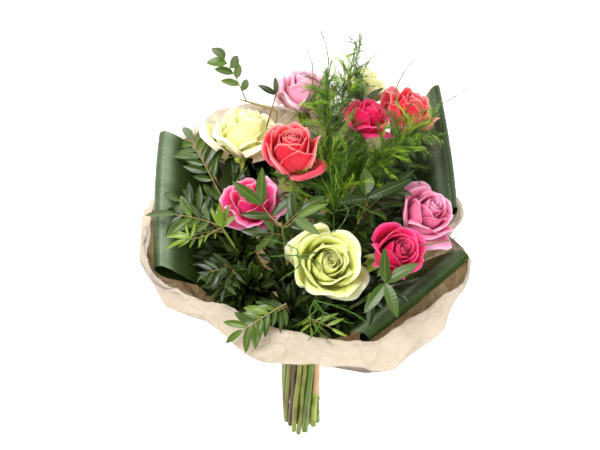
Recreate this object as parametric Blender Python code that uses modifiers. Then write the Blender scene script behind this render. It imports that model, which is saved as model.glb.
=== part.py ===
"""Hand-tied bouquet lying on its side: ten roses, three aspidistra leaves folded into loops, pistacia sprays
and asparagus fern, bound with raffia and wrapped in a collar of kraft paper.

Units are metres. Every piece is modelled in the bouquet's own frame, whose origin is the binding point. There
+Z runs up the stems to the flowers, and +Y is the side that the bouquet lies on. One empty lays it all down.
"""
import math
import random
from collections import namedtuple

import bmesh
import bpy
import numpy as np
from mathutils import Matrix, Vector
from mathutils.bvhtree import BVHTree

# How the bouquet lies
LIE_ANGLE = math.radians(20.5)
GAP = 0.0003

# Stems
BIND_LOW = -0.010
BIND_HIGH = 0.026
STEM_SHORT = 0.146
STEM_LONG = 0.172
TWIST_RATE = 3.4
SPREAD_RATE = 0.9
LEVEL_STEP = 0.008
ROUTE_TOLERANCE = 0.0004
STEM_RADIUS = {"rose": 0.0036, "aspidistra": 0.0032, "pistacia": 0.0027, "fern": 0.0021, "twig": 0.0036}
TWIG_END = -0.070

# Rose heads
BASE_TO_CENTRE = 0.90
PETAL_THICKNESS = 0.0007
HIP_LENGTH = 0.012
HIP_RADIUS = 0.0062
SEPAL_LENGTH = 0.026

# Ties
TIE_STEPS = 14

# Leaves
BLADE_THICKNESS = 0.0007
RACHIS_WIDTH = 0.0016
CLEARANCE = 0.0009
NEEDLE_PAIRS = 3

# Paper collar
PAPER_THICKNESS = 0.0008
PAPER_COLUMNS = 36
PAPER_CLEAR = 0.0014
EASE_STEP = 0.0008
NECK_LOW = 0.008
NECK_HIGH = 0.024
CREST_HEIGHT = 0.190
# The sheet's rows: the neck's two, then shares of the way up the cone to 1 at the crest, and on to the edge
PAPER_ROWS = (0.0, 0.0, 0.22, 0.45, 0.66, 0.84, 1.0, 1.5, 2.0)
CREST_ROW = 6

Rose = namedtuple("Rose", "name centre radius openness axis turn colour")
ROSES = (
    Rose("cream_left", (-0.052, 0.088, 0.240), 0.0300, 0.55, (0.22, 0.62, 0.72), 10, (0.85, 0.84, 0.45)),
    Rose("pink_back", (0.002, 0.134, 0.250), 0.0260, 0.20, None, 40, (0.90, 0.50, 0.55)),
    Rose("cream_back", (0.063, 0.131, 0.259), 0.0210, 0.10, None, 75, (0.90, 0.88, 0.55)),
    Rose("magenta_mid", (0.062, 0.073, 0.277), 0.0210, 0.10, None, 20, (0.78, 0.02, 0.15)),
    Rose("coral_right", (0.104, 0.100, 0.256), 0.0255, 0.25, None, 5, (0.85, 0.12, 0.14)),
    Rose("coral_center", (-0.010, 0.025, 0.283), 0.0265, 0.20, None, 30, (0.85, 0.10, 0.12)),
    Rose("hotpink_left", (-0.051, 0.006, 0.230), 0.0255, 0.30, None, 60, (0.80, 0.01, 0.14)),
    Rose("green_front", (0.022, -0.069, 0.230), 0.0300, 0.80, (0.10, -0.50, 0.86), 15, (0.82, 0.85, 0.45)),
    Rose("hotpink_right", (0.088, -0.058, 0.236), 0.0245, 0.25, None, 50, (0.70, 0.01, 0.14)),
    Rose("pink_right", (0.121, -0.002, 0.223), 0.0255, 0.30, None, 80, (0.80, 0.28, 0.42)),
)

# A folded leaf: the fold's middle, the fold's direction, its width, and the path of the leaf's midrib as
# distance from the axis and height, from the end of the stalk, over the fold, to the tucked-in tip.
Loop = namedtuple("Loop", "name fold run width path")
LOOPS = (
    Loop("left", (-0.138, 0.031, 0.205), (0.00, 0.93, 0.36), 0.136,
         ((0.031, 0.056), (0.058, 0.105), (0.082, 0.148), (0.103, 0.182), (0.121, 0.200), (0.135, 0.206),
          (0.142, 0.200), (0.138, 0.192), (0.118, 0.172), (0.094, 0.137), (0.082, 0.113))),
    Loop("right", (0.142, 0.085, 0.220), (0.12, -0.94, -0.33), 0.128,
         ((0.033, 0.056), (0.069, 0.105), (0.098, 0.146), (0.126, 0.182), (0.147, 0.205), (0.160, 0.219),
          (0.167, 0.216), (0.164, 0.206), (0.146, 0.186), (0.118, 0.153), (0.103, 0.130))),
    Loop("front", (0.106, -0.072, 0.190), (0.73, 0.68, 0.06), 0.130,
         ((0.031, 0.056), (0.061, 0.105), (0.084, 0.140), (0.104, 0.170), (0.117, 0.185), (0.127, 0.192),
          (0.133, 0.187), (0.130, 0.178), (0.113, 0.156), (0.095, 0.128), (0.088, 0.113))),
)

# A pistacia spray: where its stem ends, and its leaves, each as the height where it leaves the stem, the place
# of its tip and its number of leaflet pairs.
Spray = namedtuple("Spray", "name top leaves")
SPRAYS = (
    Spray("left_back", (-0.078, 0.030, 0.214), (
        (0.212, (-0.112, 0.108, 0.226), 5),
        (0.200, (-0.118, 0.052, 0.216), 3),
        (0.190, (-0.048, 0.050, 0.226), 1),
    )),
    Spray("left", (-0.076, -0.008, 0.212), (
        (0.210, (-0.143, 0.000, 0.214), 4),
        (0.196, (-0.132, 0.032, 0.214), 2),
        (0.200, (-0.122, -0.030, 0.208), 3),
    )),
    Spray("left_front", (-0.066, -0.052, 0.204), (
        (0.202, (-0.100, -0.068, 0.205), 2),
        (0.192, (-0.072, -0.092, 0.200), 2),
        (0.196, (-0.052, -0.078, 0.216), 2),
    )),
    Spray("front", (-0.014, -0.096, 0.208), (
        (0.206, (-0.070, -0.130, 0.190), 4),
        (0.196, (-0.036, -0.112, 0.200), 1),
    )),
    Spray("centre", (-0.018, -0.032, 0.246), (
        (0.244, (-0.060, -0.014, 0.272), 2),
        (0.240, (-0.034, 0.000, 0.278), 1),
        (0.236, (0.022, -0.014, 0.262), 2),
        (0.222, (-0.050, -0.038, 0.240), 2),
    )),
    Spray("right", (0.058, -0.004, 0.226), (
        (0.224, (0.064, 0.036, 0.256), 1),
        (0.222, (0.106, 0.026, 0.252), 2),
        (0.214, (0.096, -0.016, 0.244), 1),
    )),
    Spray("front_right", (0.068, -0.088, 0.214), (
        (0.212, (0.066, -0.060, 0.246), 1),
        (0.210, (0.108, -0.078, 0.222), 2),
        (0.204, (0.082, -0.118, 0.206), 2),
    )),
    Spray("back_left", (-0.060, 0.122, 0.244), (
        (0.242, (-0.088, 0.170, 0.266), 3),
        (0.230, (-0.096, 0.118, 0.240), 1),
    )),
    Spray("back", (0.034, 0.092, 0.264), (
        (0.262, (0.040, 0.122, 0.288), 1),
        (0.254, (0.006, 0.092, 0.276), 1),
        (0.250, (0.036, 0.060, 0.282), 1),
    )),
    Spray("low_front", (0.008, -0.100, 0.190), (
        (0.188, (0.010, -0.134, 0.194), 2),
        (0.180, (0.048, -0.124, 0.190), 2),
    )),
)

# A fern plume: where its stem starts to branch, where its tip is, its number of branchlets and their length
Plume = namedtuple("Plume", "name foot tip branchlets reach")
PLUMES = (
    Plume("centre", (0.030, -0.004, 0.236), (0.022, 0.104, 0.306), 8, 0.046),
    Plume("right", (0.050, 0.022, 0.240), (0.128, 0.060, 0.282), 6, 0.040),
    Plume("back", (0.033, 0.073, 0.262), (0.060, 0.150, 0.304), 5, 0.036),
)

DARK_GREEN = (0.035, 0.10, 0.025)
MID_GREEN = (0.10, 0.23, 0.04)
BRIGHT_GREEN = (0.16, 0.36, 0.05)
STEM_GREEN = (0.24, 0.38, 0.09)
KRAFT = (0.76, 0.60, 0.45)
RAFFIA = (0.62, 0.50, 0.28)
PEELED_WOOD = (0.78, 0.50, 0.28)


def unit(vector):
    """The vector at length one."""
    return Vector(vector).normalized()


def clear_scene():
    """Remove every object, so that the script starts from an empty scene."""
    for thing in list(bpy.data.objects):
        bpy.data.objects.remove(thing, do_unlink=True)


def new_collection(name):
    """A collection linked to the scene."""
    collection = bpy.data.collections.new(name)
    bpy.context.scene.collection.children.link(collection)
    return collection


def material(name, colour, roughness):
    """A Principled material of one colour."""
    mat = bpy.data.materials.new(name)
    mat.use_nodes = True
    shader = mat.node_tree.nodes["Principled BSDF"]
    shader.inputs["Base Color"].default_value = (*colour, 1.0)
    shader.inputs["Roughness"].default_value = roughness
    shader.inputs["Metallic"].default_value = 0.0
    return mat


def add_object(name, data, collection):
    """An object for the mesh or curve, linked to the collection."""
    thing = bpy.data.objects.new(name, data)
    collection.objects.link(thing)
    return thing


def object_from_bmesh(name, bm, collection):
    """An object that takes over the bmesh."""
    mesh = bpy.data.meshes.new(name)
    bm.to_mesh(mesh)
    bm.free()
    return add_object(name, mesh, collection)


def evaluated_mesh(thing):
    """The object's mesh with its modifiers applied."""
    bpy.context.view_layer.update()
    depsgraph = bpy.context.evaluated_depsgraph_get()
    return bpy.data.meshes.new_from_object(thing.evaluated_get(depsgraph))


def solidify(thing, thickness):
    """Give an open surface its thickness, half to each side."""
    shell = thing.modifiers.new("thickness", "SOLIDIFY")
    shell.thickness = thickness
    shell.offset = 0.0
    shell.use_even_offset = False


def keep_largest_body(bm):
    """Delete every loose scrap, so that one body is left."""
    bm.verts.ensure_lookup_table()
    unseen = set(bm.verts)
    bodies = []
    while unseen:
        start = unseen.pop()
        body = [start]
        stack = [start]
        while stack:
            for edge in stack.pop().link_edges:
                for vert in edge.verts:
                    if vert in unseen:
                        unseen.remove(vert)
                        body.append(vert)
                        stack.append(vert)
        bodies.append(body)
    bodies.sort(key=len)
    for body in bodies[:-1]:
        bmesh.ops.delete(bm, geom=body, context="VERTS")


def fuse(name, base, pieces, collection, mat):
    """Join the pieces to the base with one Boolean union, and leave one body in one object."""
    group = bpy.data.collections.new(name + "_pieces")
    bpy.context.scene.collection.children.link(group)
    for piece in pieces:
        for owner in list(piece.users_collection):
            owner.objects.unlink(piece)
        group.objects.link(piece)
    union = base.modifiers.new("union", "BOOLEAN")
    union.operation = "UNION"
    union.operand_type = "COLLECTION"
    union.collection = group
    union.solver = "EXACT"
    mesh = evaluated_mesh(base)
    bm = bmesh.new()
    bm.from_mesh(mesh)
    keep_largest_body(bm)
    bmesh.ops.triangulate(bm, faces=bm.faces[:])
    mesh.clear_geometry()
    bm.to_mesh(mesh)
    bm.free()
    for thing in [base, *pieces]:
        bpy.data.objects.remove(thing, do_unlink=True)
    bpy.data.collections.remove(group)
    mesh.name = name
    return finish(name, mesh, collection, mat)


def finish(name, mesh, collection, mat):
    """The node's final object with its material."""
    thing = add_object(name, mesh, collection)
    mesh.materials.clear()
    mesh.materials.append(mat)
    mesh.shade_smooth()
    mesh.set_sharp_from_angle(angle=math.radians(50))
    return thing


def frame_at(point, direction, turn=0.0):
    """A matrix at the point whose +Z runs along the direction, turned about it."""
    quat = Vector(direction).to_track_quat("Z", "Y")
    return Matrix.Translation(point) @ quat.to_matrix().to_4x4() @ Matrix.Rotation(turn, 4, "Z")


def tube(name, points, radii, collection, sides=6):
    """A closed tube along the points, made as a bevelled curve and turned into a mesh."""
    curve = bpy.data.curves.new(name, "CURVE")
    curve.dimensions = "3D"
    curve.bevel_depth = 1.0
    curve.bevel_resolution = (sides - 4) // 2
    curve.use_fill_caps = True
    spline = curve.splines.new("POLY")
    spline.points.add(len(points) - 1)
    for spot, point, radius in zip(spline.points, points, radii):
        spot.co = (*point, 1.0)
        spot.radius = radius
    thing = add_object(name, curve, collection)
    mesh = evaluated_mesh(thing)
    bpy.data.objects.remove(thing, do_unlink=True)
    bm = bmesh.new()
    bm.from_mesh(mesh)
    bmesh.ops.remove_doubles(bm, verts=bm.verts[:], dist=1e-6)
    bmesh.ops.recalc_face_normals(bm, faces=bm.faces[:])
    bm.to_mesh(mesh)
    bm.free()
    mesh.materials.clear()
    return add_object(name, mesh, collection)


def thin_out(points, tolerance):
    """Drop the points that lie within the tolerance of a straight line between kept ones."""
    if len(points) < 3:
        return list(points)
    first = Vector(points[0])
    last = Vector(points[-1])
    line = last - first
    worst = 0.0
    index = 0
    for i in range(1, len(points) - 1):
        along = max(0.0, min(1.0, (Vector(points[i]) - first).dot(line) / line.length_squared))
        off = (Vector(points[i]) - first - line * along).length
        if off > worst:
            worst = off
            index = i
    if worst <= tolerance:
        return [points[0], points[-1]]
    return thin_out(points[: index + 1], tolerance)[:-1] + thin_out(points[index:], tolerance)


def smooth_curve(points, count):
    """Points along a Catmull-Rom curve through the given ones, evenly spaced along it."""
    pts = [np.array(p, dtype=float) for p in points]
    pts = [2 * pts[0] - pts[1], *pts, 2 * pts[-1] - pts[-2]]
    dense = []
    for a, b, c, d in zip(pts, pts[1:], pts[2:], pts[3:]):
        for t in np.linspace(0.0, 1.0, 16, endpoint=False):
            dense.append(0.5 * (2 * b + (c - a) * t + (2 * a - 5 * b + 4 * c - d) * t**2
                                + (3 * b - a - 3 * c + d) * t**3))
    dense.append(pts[-2])
    dense = np.array(dense)
    run = np.concatenate([[0.0], np.cumsum(np.linalg.norm(np.diff(dense, axis=0), axis=1))])
    wanted = np.linspace(0.0, run[-1], count)
    return np.column_stack([np.interp(wanted, run, dense[:, k]) for k in range(dense.shape[1])])


# Stem routes

Stem = namedtuple("Stem", "name kind top direction")


def rose_axis(rose):
    """The way the rose faces: its own direction, or leaning out a little more than its stem does."""
    if rose.axis:
        return unit(rose.axis)
    x, y, z = rose.centre
    lean = 1.3 * math.atan2(math.hypot(x, y), z)
    around = math.atan2(y, x)
    return Vector((math.sin(lean) * math.cos(around), math.sin(lean) * math.sin(around), math.cos(lean)))


def rose_base(rose):
    """Where the petals start, at the top of the stem."""
    return Vector(rose.centre) - rose_axis(rose) * BASE_TO_CENTRE * rose.radius


def loop_outward(loop):
    """The level direction from the axis towards the fold."""
    return unit((loop.fold[0], loop.fold[1], 0.0))


def all_stems():
    """Every stem with the place and direction of its upper end."""
    stems = []
    for rose in ROSES:
        axis = rose_axis(rose)
        stems.append(Stem("rose_" + rose.name, "rose", rose_base(rose) - axis * HIP_LENGTH, axis))
    for loop in LOOPS:
        out = loop_outward(loop)
        first, second = (Vector((out.x * r, out.y * r, z)) for r, z in loop.path[:2])
        stems.append(Stem("aspidistra_" + loop.name, "aspidistra", first, unit(second - first)))
    for spray in SPRAYS:
        top = Vector(spray.top)
        stems.append(Stem("pistacia_" + spray.name, "pistacia", top, unit((top.x, top.y, 1.1 * top.z))))
    for plume in PLUMES:
        foot = Vector(plume.foot)
        rise = unit(Vector(plume.tip) - foot + Vector((0, 0, 0.05)))
        stems.append(Stem("fern_" + plume.name, "fern", foot, rise))
    stems.append(Stem("cut_twig", "twig", Vector((0.020, -0.014, BIND_HIGH)), Vector((0, 0, 1))))
    return stems


def push_apart(spots, need, freedom):
    """Move pairs of points on a level apart until each pair has the distance it needs."""
    for i in range(len(spots)):
        for j in range(i + 1, len(spots)):
            share = freedom[i] + freedom[j]
            if share <= 0.0:
                continue
            away = spots[j] - spots[i]
            length = np.linalg.norm(away)
            short = need[i, j] - length
            if short > 0.0:
                step = away / max(length, 1e-9) * short
                spots[i] -= step * freedom[i] / share
                spots[j] += step * freedom[j] / share


def pack_bundle(stems):
    """Places of the stems where they are bound, packed tight in the order in which they fan out."""
    radii = np.array([STEM_RADIUS[stem.kind] for stem in stems])
    spots = np.array([[stem.top.x, stem.top.y] for stem in stems])
    reach = np.array([stem.top.z for stem in stems])
    spots = spots / reach[:, None] * 0.045
    need = radii[:, None] + radii[None, :] + 1.6 * GAP
    free = np.ones(len(stems))
    for step in range(500):
        spots *= 0.985
        push_apart(spots, need, free)
    for step in range(200):
        push_apart(spots, need, free)
    return spots


def bloom_obstacles(z):
    """The discs that the rose heads cover at a height, as centre and radius."""
    discs = []
    for rose in ROSES:
        reach = rose.radius * 1.20
        square = reach**2 - (z - rose.centre[2]) ** 2
        if square > 0.0:
            discs.append((np.array(rose.centre[:2]), math.sqrt(square), rose.name))
    return discs


def route_stems(stems, spots, wall):
    """Centre lines of all stems from their cut ends to their tops, kept clear of each other."""
    draw = random.Random(5)
    radii = np.array([STEM_RADIUS[stem.kind] for stem in stems])
    routes = {stem.name: [] for stem in stems}
    for stem, spot in zip(stems, spots):
        end = TWIG_END if stem.kind == "twig" else -draw.uniform(STEM_SHORT, STEM_LONG)
        if spot[1] > 0.009:
            end = min(end, -STEM_LONG + 0.003)
        for k in range(5):
            z = end + (BIND_LOW - end) * k / 4
            turn = TWIST_RATE * (z - BIND_LOW)
            grow = 1.0 - SPREAD_RATE * (z - BIND_LOW)
            x = (spot[0] * math.cos(turn) - spot[1] * math.sin(turn)) * grow
            y = (spot[0] * math.sin(turn) + spot[1] * math.cos(turn)) * grow
            routes[stem.name].append(Vector((x, y, z)))
        routes[stem.name].append(Vector((spot[0], spot[1], BIND_HIGH)))
    carry = np.zeros_like(spots)
    level = BIND_HIGH + LEVEL_STEP
    highest = max(stem.top.z for stem in stems)
    while level < highest:
        live = [i for i, stem in enumerate(stems) if stem.top.z > level + 0.002]
        ideal = np.array([hermite(spots[i], stems[i], level) for i in live])
        free = np.array([freedom(stems[i], level) for i in live])
        here = ideal + carry[live] * 0.9 * free[:, None]
        blow = 1.0 + min(0.2, (level - BIND_HIGH) * 3.0)
        need = (radii[live][:, None] + radii[live][None, :]) * blow + 2.5 * GAP
        for step in range(40):
            push_apart(here, need, free)
            push_from_blooms(here, [stems[i] for i in live], free, level)
            push_from_wall(here, radii[live], free, wall(level))
        for n, i in enumerate(live):
            carry[i] = here[n] - ideal[n]
            routes[stems[i].name].append(Vector((here[n][0], here[n][1], level)))
        level += LEVEL_STEP
    for stem in stems:
        if stem.kind != "twig":
            routes[stem.name].append(Vector(stem.top))
    return routes


def hermite(spot, stem, level):
    """A stem's free course between the binding and its top."""
    rise = stem.top.z - BIND_HIGH
    t = (level - BIND_HIGH) / rise
    start = np.array(spot)
    end = np.array([stem.top.x, stem.top.y])
    leave = 0.6 * (end - start)
    arrive = np.array([stem.direction.x, stem.direction.y]) / max(stem.direction.z, 0.5) * rise
    return ((2 * t**3 - 3 * t**2 + 1) * start + (t**3 - 2 * t**2 + t) * leave
            + (3 * t**2 - 2 * t**3) * end + (t**3 - t**2) * arrive)


def freedom(stem, level):
    """How freely a stem may be pushed aside at a height: less and less towards its top."""
    ease = max(0.0, min(1.0, (stem.top.z - level) / 0.030))
    return ease * (0.4 if stem.kind == "rose" else 1.0)


def push_from_blooms(here, stems, free, level):
    """Keep the stems out of the rose heads."""
    for centre, reach, name in bloom_obstacles(level):
        for n, stem in enumerate(stems):
            if stem.name == "rose_" + name:
                continue
            away = here[n] - centre
            length = np.linalg.norm(away)
            short = reach + STEM_RADIUS[stem.kind] + 0.001 - length
            if short > 0.0 and free[n] > 0.0:
                here[n] += away / max(length, 1e-9) * short * min(1.0, free[n] * 2.0)


def push_from_wall(here, radii, free, reach):
    """Keep the stems inside the paper."""
    for n in range(len(here)):
        length = np.linalg.norm(here[n])
        over = length + radii[n] + 0.003 - reach
        if over > 0.0 and free[n] > 0.0:
            here[n] *= (length - over) / length


# Roses

# The closed core of a head, as distance from the axis and height in shares of the head's radius. Petals of a
# layer grow from the narrow band between two of its rings.
CORE = ((0.26, 0.00), (0.43, 0.13), (0.40, 0.16), (0.585, 0.50), (0.545, 0.52), (0.48, 0.95), (0.44, 0.97))
CORE_TIP = 1.34
CORE_SIDES = 10

# A layer of petals: the lower ring of its band, its profile past the band, the number of petals, half the angle
# that each spans at its rim in degrees, and how far its edges tuck under and over.
Layer = namedtuple("Layer", "ring profile count span tuck")
LAYERS = (
    Layer(1, ((0.76, 0.46), (0.95, 1.00), (1.03, 1.40)), 5, 41, 0.09),
    Layer(3, ((0.68, 1.05), (0.57, 1.64)), 5, 40, 0.06),
    Layer(5, ((0.27, 1.74),), 2, 88, 0.06),
)
NOTCH = 1.2


def petal_point(layer, rose, angle, u, v):
    """A place on a petal's middle surface, in shares of the head's radius: u across, v from root to rim."""
    low, high = CORE[layer.ring], CORE[layer.ring + 1]
    rim = (0.28 if layer.ring == 1 else 0.06) * rose.openness
    radii = [0.5 * (low[0] + high[0])] + [r for r, z in layer.profile]
    heights = [0.5 * (low[1] + high[1])] + [z for r, z in layer.profile]
    radii[-1] += rim
    heights[-1] -= rim
    along = np.linspace(0.0, 1.0, len(radii))
    height = v - 0.10 * u * u * v * v
    started = min(1.0, v / along[1])
    r = np.interp(height, along, radii) + (layer.tuck * u + 0.04 * u * u * v) * started
    z = np.interp(height, along, heights) - 1.2 * layer.tuck * u * v * v * rose.openness
    root = 180.0 / layer.count
    half = np.interp(v, (0.0, along[1], 1.0), (root, root - NOTCH, layer.span))
    a = angle + u * math.radians(half if len(along) > 2 else min(half, root - NOTCH))
    return Vector((r * math.cos(a), r * math.sin(a), z))


def petal_corners(layer, rose, angle, u, v):
    """The outer and inner corners of a petal at a place, half its thickness to either side."""
    step = 0.01
    spot = petal_point(layer, rose, angle, u, v)
    across = petal_point(layer, rose, angle, u + step, v) - petal_point(layer, rose, angle, u - step, v)
    up = spot - petal_point(layer, rose, angle, u, v - step)
    half = across.cross(up).normalized() * 0.5 * PETAL_THICKNESS / rose.radius
    return spot + half, spot - half


def grow_petal(bm, rings, layer, rose, number):
    """Loft one petal out of its share of the core's band."""
    columns = CORE_SIDES // layer.count
    turn = math.radians(rose.turn)
    first = number * columns
    angle = turn + 2 * math.pi * (first + 0.5 * columns) / CORE_SIDES
    spots = [(first + c) % CORE_SIDES for c in range(columns + 1)]
    outer = [rings[layer.ring][k] for k in spots]
    inner = [rings[layer.ring + 1][k] for k in spots]
    rows = len(layer.profile)
    for row in range(1, rows + 1):
        pairs = [petal_corners(layer, rose, angle, 2 * c / columns - 1, row / rows) for c in range(columns + 1)]
        next_outer = [bm.verts.new(pair[0]) for pair in pairs]
        next_inner = [bm.verts.new(pair[1]) for pair in pairs]
        for c in range(columns):
            bm.faces.new((outer[c], outer[c + 1], next_outer[c + 1], next_outer[c]))
            bm.faces.new((inner[c], next_inner[c], next_inner[c + 1], inner[c + 1]))
        bm.faces.new((outer[0], next_outer[0], next_inner[0], inner[0]))
        bm.faces.new((outer[-1], inner[-1], next_inner[-1], next_outer[-1]))
        outer, inner = next_outer, next_inner
    for c in range(columns):
        bm.faces.new((outer[c], outer[c + 1], inner[c + 1], inner[c]))


def rose_head(rose, collection):
    """Petals in three layers, lofted out of a closed core that sits flat on the hip."""
    name = "rose_" + rose.name + "_bloom"
    turn = math.radians(rose.turn)
    bm = bmesh.new()
    rings = []
    for r, z in CORE:
        angles = [turn + 2 * math.pi * k / CORE_SIDES for k in range(CORE_SIDES)]
        rings.append([bm.verts.new((r * math.cos(a), r * math.sin(a), z)) for a in angles])
    tip = bm.verts.new((0.0, 0.0, CORE_TIP))
    bm.faces.new(rings[0])
    grown = {layer.ring for layer in LAYERS}
    for n, (low, high) in enumerate(zip(rings, rings[1:])):
        for k in range(CORE_SIDES if n not in grown else 0):
            bm.faces.new((low[k], low[(k + 1) % CORE_SIDES], high[(k + 1) % CORE_SIDES], high[k]))
    for k in range(CORE_SIDES):
        bm.faces.new((rings[-1][k], rings[-1][(k + 1) % CORE_SIDES], tip))
    for layer in LAYERS:
        for number in range(layer.count):
            grow_petal(bm, rings, layer, rose, number)
    bmesh.ops.triangulate(bm, faces=bm.faces[:], quad_method="FIXED")
    bmesh.ops.recalc_face_normals(bm, faces=bm.faces[:])
    bmesh.ops.scale(bm, vec=(rose.radius,) * 3, verts=bm.verts[:])
    bmesh.ops.transform(bm, matrix=frame_at(rose_base(rose), rose_axis(rose)), verts=bm.verts[:])
    mesh = bpy.data.meshes.new(name)
    bm.to_mesh(mesh)
    bm.free()
    return finish(name, mesh, collection, material(name, rose.colour, 0.5))


def sepal(name, angle, collection):
    """One pointed sepal, a flat three-sided spike bent down from the hip."""
    bm = bmesh.new()
    bmesh.ops.create_cone(bm, cap_ends=True, segments=3, radius1=0.0034, radius2=0.0, depth=SEPAL_LENGTH)
    bmesh.ops.scale(bm, vec=(0.35, 1.0, 1.0), verts=bm.verts[:])
    bmesh.ops.translate(bm, vec=(0.0, 0.0, 0.5 * SEPAL_LENGTH), verts=bm.verts[:])
    way = Vector((math.cos(angle), math.sin(angle), -0.75))
    bmesh.ops.transform(bm, matrix=frame_at((0.0, 0.0, -0.0045), way), verts=bm.verts[:])
    return object_from_bmesh(name, bm, collection)


def rose_stem(rose, route, collection, workshop):
    """The stem with the hip and its five sepals."""
    name = "rose_" + rose.name + "_stem"
    axis = rose_axis(rose)
    base = rose_base(rose)
    points = thin_out(route, ROUTE_TOLERANCE)
    radii = [STEM_RADIUS["rose"]] * (len(points) - 1) + [0.0028]
    points += [base - axis * 0.0055, base - axis * GAP]
    radii += [HIP_RADIUS, HIP_RADIUS * 0.86]
    stem = tube(name + "_tube", points, radii, workshop)
    turns = [math.radians(rose.turn + 36 + 72 * n) for n in range(5)]
    sepals = [sepal(f"{name}_sepal_{n}", turn, workshop) for n, turn in enumerate(turns)]
    for thing in sepals:
        thing.data.transform(frame_at(base, axis))
    return fuse(name, stem, sepals, collection, material(name, STEM_GREEN, 0.5))


# Aspidistra

def loop_width(t):
    """Half width of the folded leaf along its length, as a share of the greatest."""
    points = (0.0, 0.12, 0.25, 0.40, 0.55, 0.70, 0.85, 0.95, 1.0)
    shares = (0.045, 0.30, 0.66, 0.92, 1.0, 1.0, 0.72, 0.34, 0.03)
    return float(np.interp(t, points, shares))


def loop_point(loop, line, t, w):
    """A place on the folded leaf: t along the midrib and w from edge to edge, -1 to 1."""
    out = loop_outward(loop)
    run = unit(loop.run)
    where = t * (len(line) - 1)
    i = min(int(where), len(line) - 2)
    r, z = line[i] + (line[i + 1] - line[i]) * (where - i)
    fold = Vector(loop.fold)
    settle = min(1.0, max(0.0, (t - 0.02) / 0.30))
    slip = (fold - out * Vector((fold.x, fold.y, 0.0)).length) * settle
    slip.z = 0.0
    half = 0.5 * loop.width * loop_width(t)
    side = run.lerp(out.cross(Vector((0, 0, 1))) * (1 if out.cross(Vector((0, 0, 1))).dot(run) > 0 else -1),
                    1.0 - settle).normalized()
    crown = 0.004 * (1.0 - w * w) * loop_width(t)
    return out * (r + crown * 0.5) + Vector((0, 0, z + crown * 0.5)) + slip + side * half * w


def aspidistra(loop, route, collection, workshop):
    """A broad leaf folded back on itself, with its stalk."""
    name = "aspidistra_" + loop.name
    line = smooth_curve(loop.path, 60)
    bm = bmesh.new()
    bmesh.ops.create_grid(bm, x_segments=4, y_segments=15, size=1.0)
    for vert in bm.verts:
        vert.co = loop_point(loop, line, 0.5 * (vert.co.y + 1.0), vert.co.x)
    bmesh.ops.triangulate(bm, faces=bm.faces[:])
    blade = object_from_bmesh(name + "_blade", bm, workshop)
    solidify(blade, BLADE_THICKNESS)
    points = thin_out(route, ROUTE_TOLERANCE)
    radius = STEM_RADIUS["aspidistra"]
    radii = [radius] * (len(points) - 1) + [radius * 0.8]
    ahead = loop_point(loop, line, 0.05, 0.0)
    points.append(ahead)
    radii.append(radius * 0.4)
    stalk = tube(name + "_stalk", points, radii, workshop)
    return fuse(name, stalk, [blade], collection, material(name, DARK_GREEN, 0.3))


# Paper collar

# Degrees round the axis and millimetres: the rim's reach, how far it is turned out, and its crest's rise
RIM_REACH = ((0, 153), (30, 146), (55, 154), (68, 166), (90, 164), (112, 166), (125, 160), (135, 158),
             (160, 157), (180, 157), (195, 155), (205, 150), (215, 142), (237, 135), (270, 141), (300, 172),
             (320, 176), (335, 165), (360, 153))
RIM_FLARE = ((0, 24), (60, 16), (120, 20), (160, 16), (198, 13), (215, 22), (230, 26), (270, 29), (310, 38),
             (340, 30), (360, 24))
CREST_RISE = ((0, 0), (30, -4), (50, -8), (75, 0), (100, 15), (118, 25), (132, 24), (147, 8), (165, 2),
              (180, 0), (360, 0))


def by_azimuth(table, azimuth):
    """Read a table of degrees and millimetres at an azimuth, in metres."""
    degrees = math.degrees(azimuth) % 360
    return 0.001 * float(np.interp(degrees, [d for d, mm in table], [mm for d, mm in table]))


def crumple(azimuth, row):
    """Small folds of the paper."""
    return (0.0016 * math.sin(7 * azimuth + 1.3 * row) + 0.0013 * math.sin(13 * azimuth - 0.9 * row + 1.0)
            + 0.0009 * math.sin(19 * azimuth + 2.1 * row))


def floor_height(point, lift):
    """Height over the table of a place in the bouquet's frame."""
    return -point.y * math.cos(LIE_ANGLE) + point.z * math.sin(LIE_ANGLE) + lift


def push_up(point, lift, height):
    """Move a place straight up until it has the given height over the table."""
    short = height - floor_height(point, lift)
    if short > 0.0:
        point.y -= short * math.cos(LIE_ANGLE)
        point.z += short * math.sin(LIE_ANGLE)


def leaf_reach(tree, azimuth, z):
    """How far out the folded leaves reach at a height in a direction."""
    out = Vector((math.cos(azimuth), math.sin(azimuth), 0.0))
    start = Vector((0, 0, z))
    reach = 0.0
    while True:
        hit, normal, index, distance = tree.ray_cast(start + out * (reach + 0.0005), out, 0.30)
        if not hit:
            return reach
        reach += 0.0005 + distance


def ease_off(bm, leaves, lift):
    """Move the sheet outwards and down, little by little, until it clears the folded leaves."""
    verts = []
    faces = []
    for leaf in leaves:
        start = len(verts)
        verts.extend(v.co + v.normal * PAPER_CLEAR for v in leaf.data.vertices)
        faces.extend(tuple(start + i for i in poly.vertices) for poly in leaf.data.polygons)
    swollen = BVHTree.FromPolygons(verts, faces)
    for step in range(60):
        bm.faces.ensure_lookup_table()
        met = {pair[0] for pair in BVHTree.FromBMesh(bm).overlap(swollen)}
        if not met:
            return
        close = {v for index in met for v in bm.faces[index].verts}
        near = {edge.other_vert(v) for v in close for edge in v.link_edges} - close
        far = {edge.other_vert(v) for v in near for edge in v.link_edges} - close - near
        for group, length in ((close, EASE_STEP), (near, 0.7 * EASE_STEP), (far, 0.35 * EASE_STEP)):
            for vert in group:
                out = Vector((vert.co.x, vert.co.y, 0.0)).normalized()
                vert.co += (out - Vector((0, 0, 0.5))) * length
                push_up(vert.co, lift, 0.5 * PAPER_THICKNESS)
    raise RuntimeError("the paper still meets a leaf")


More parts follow.
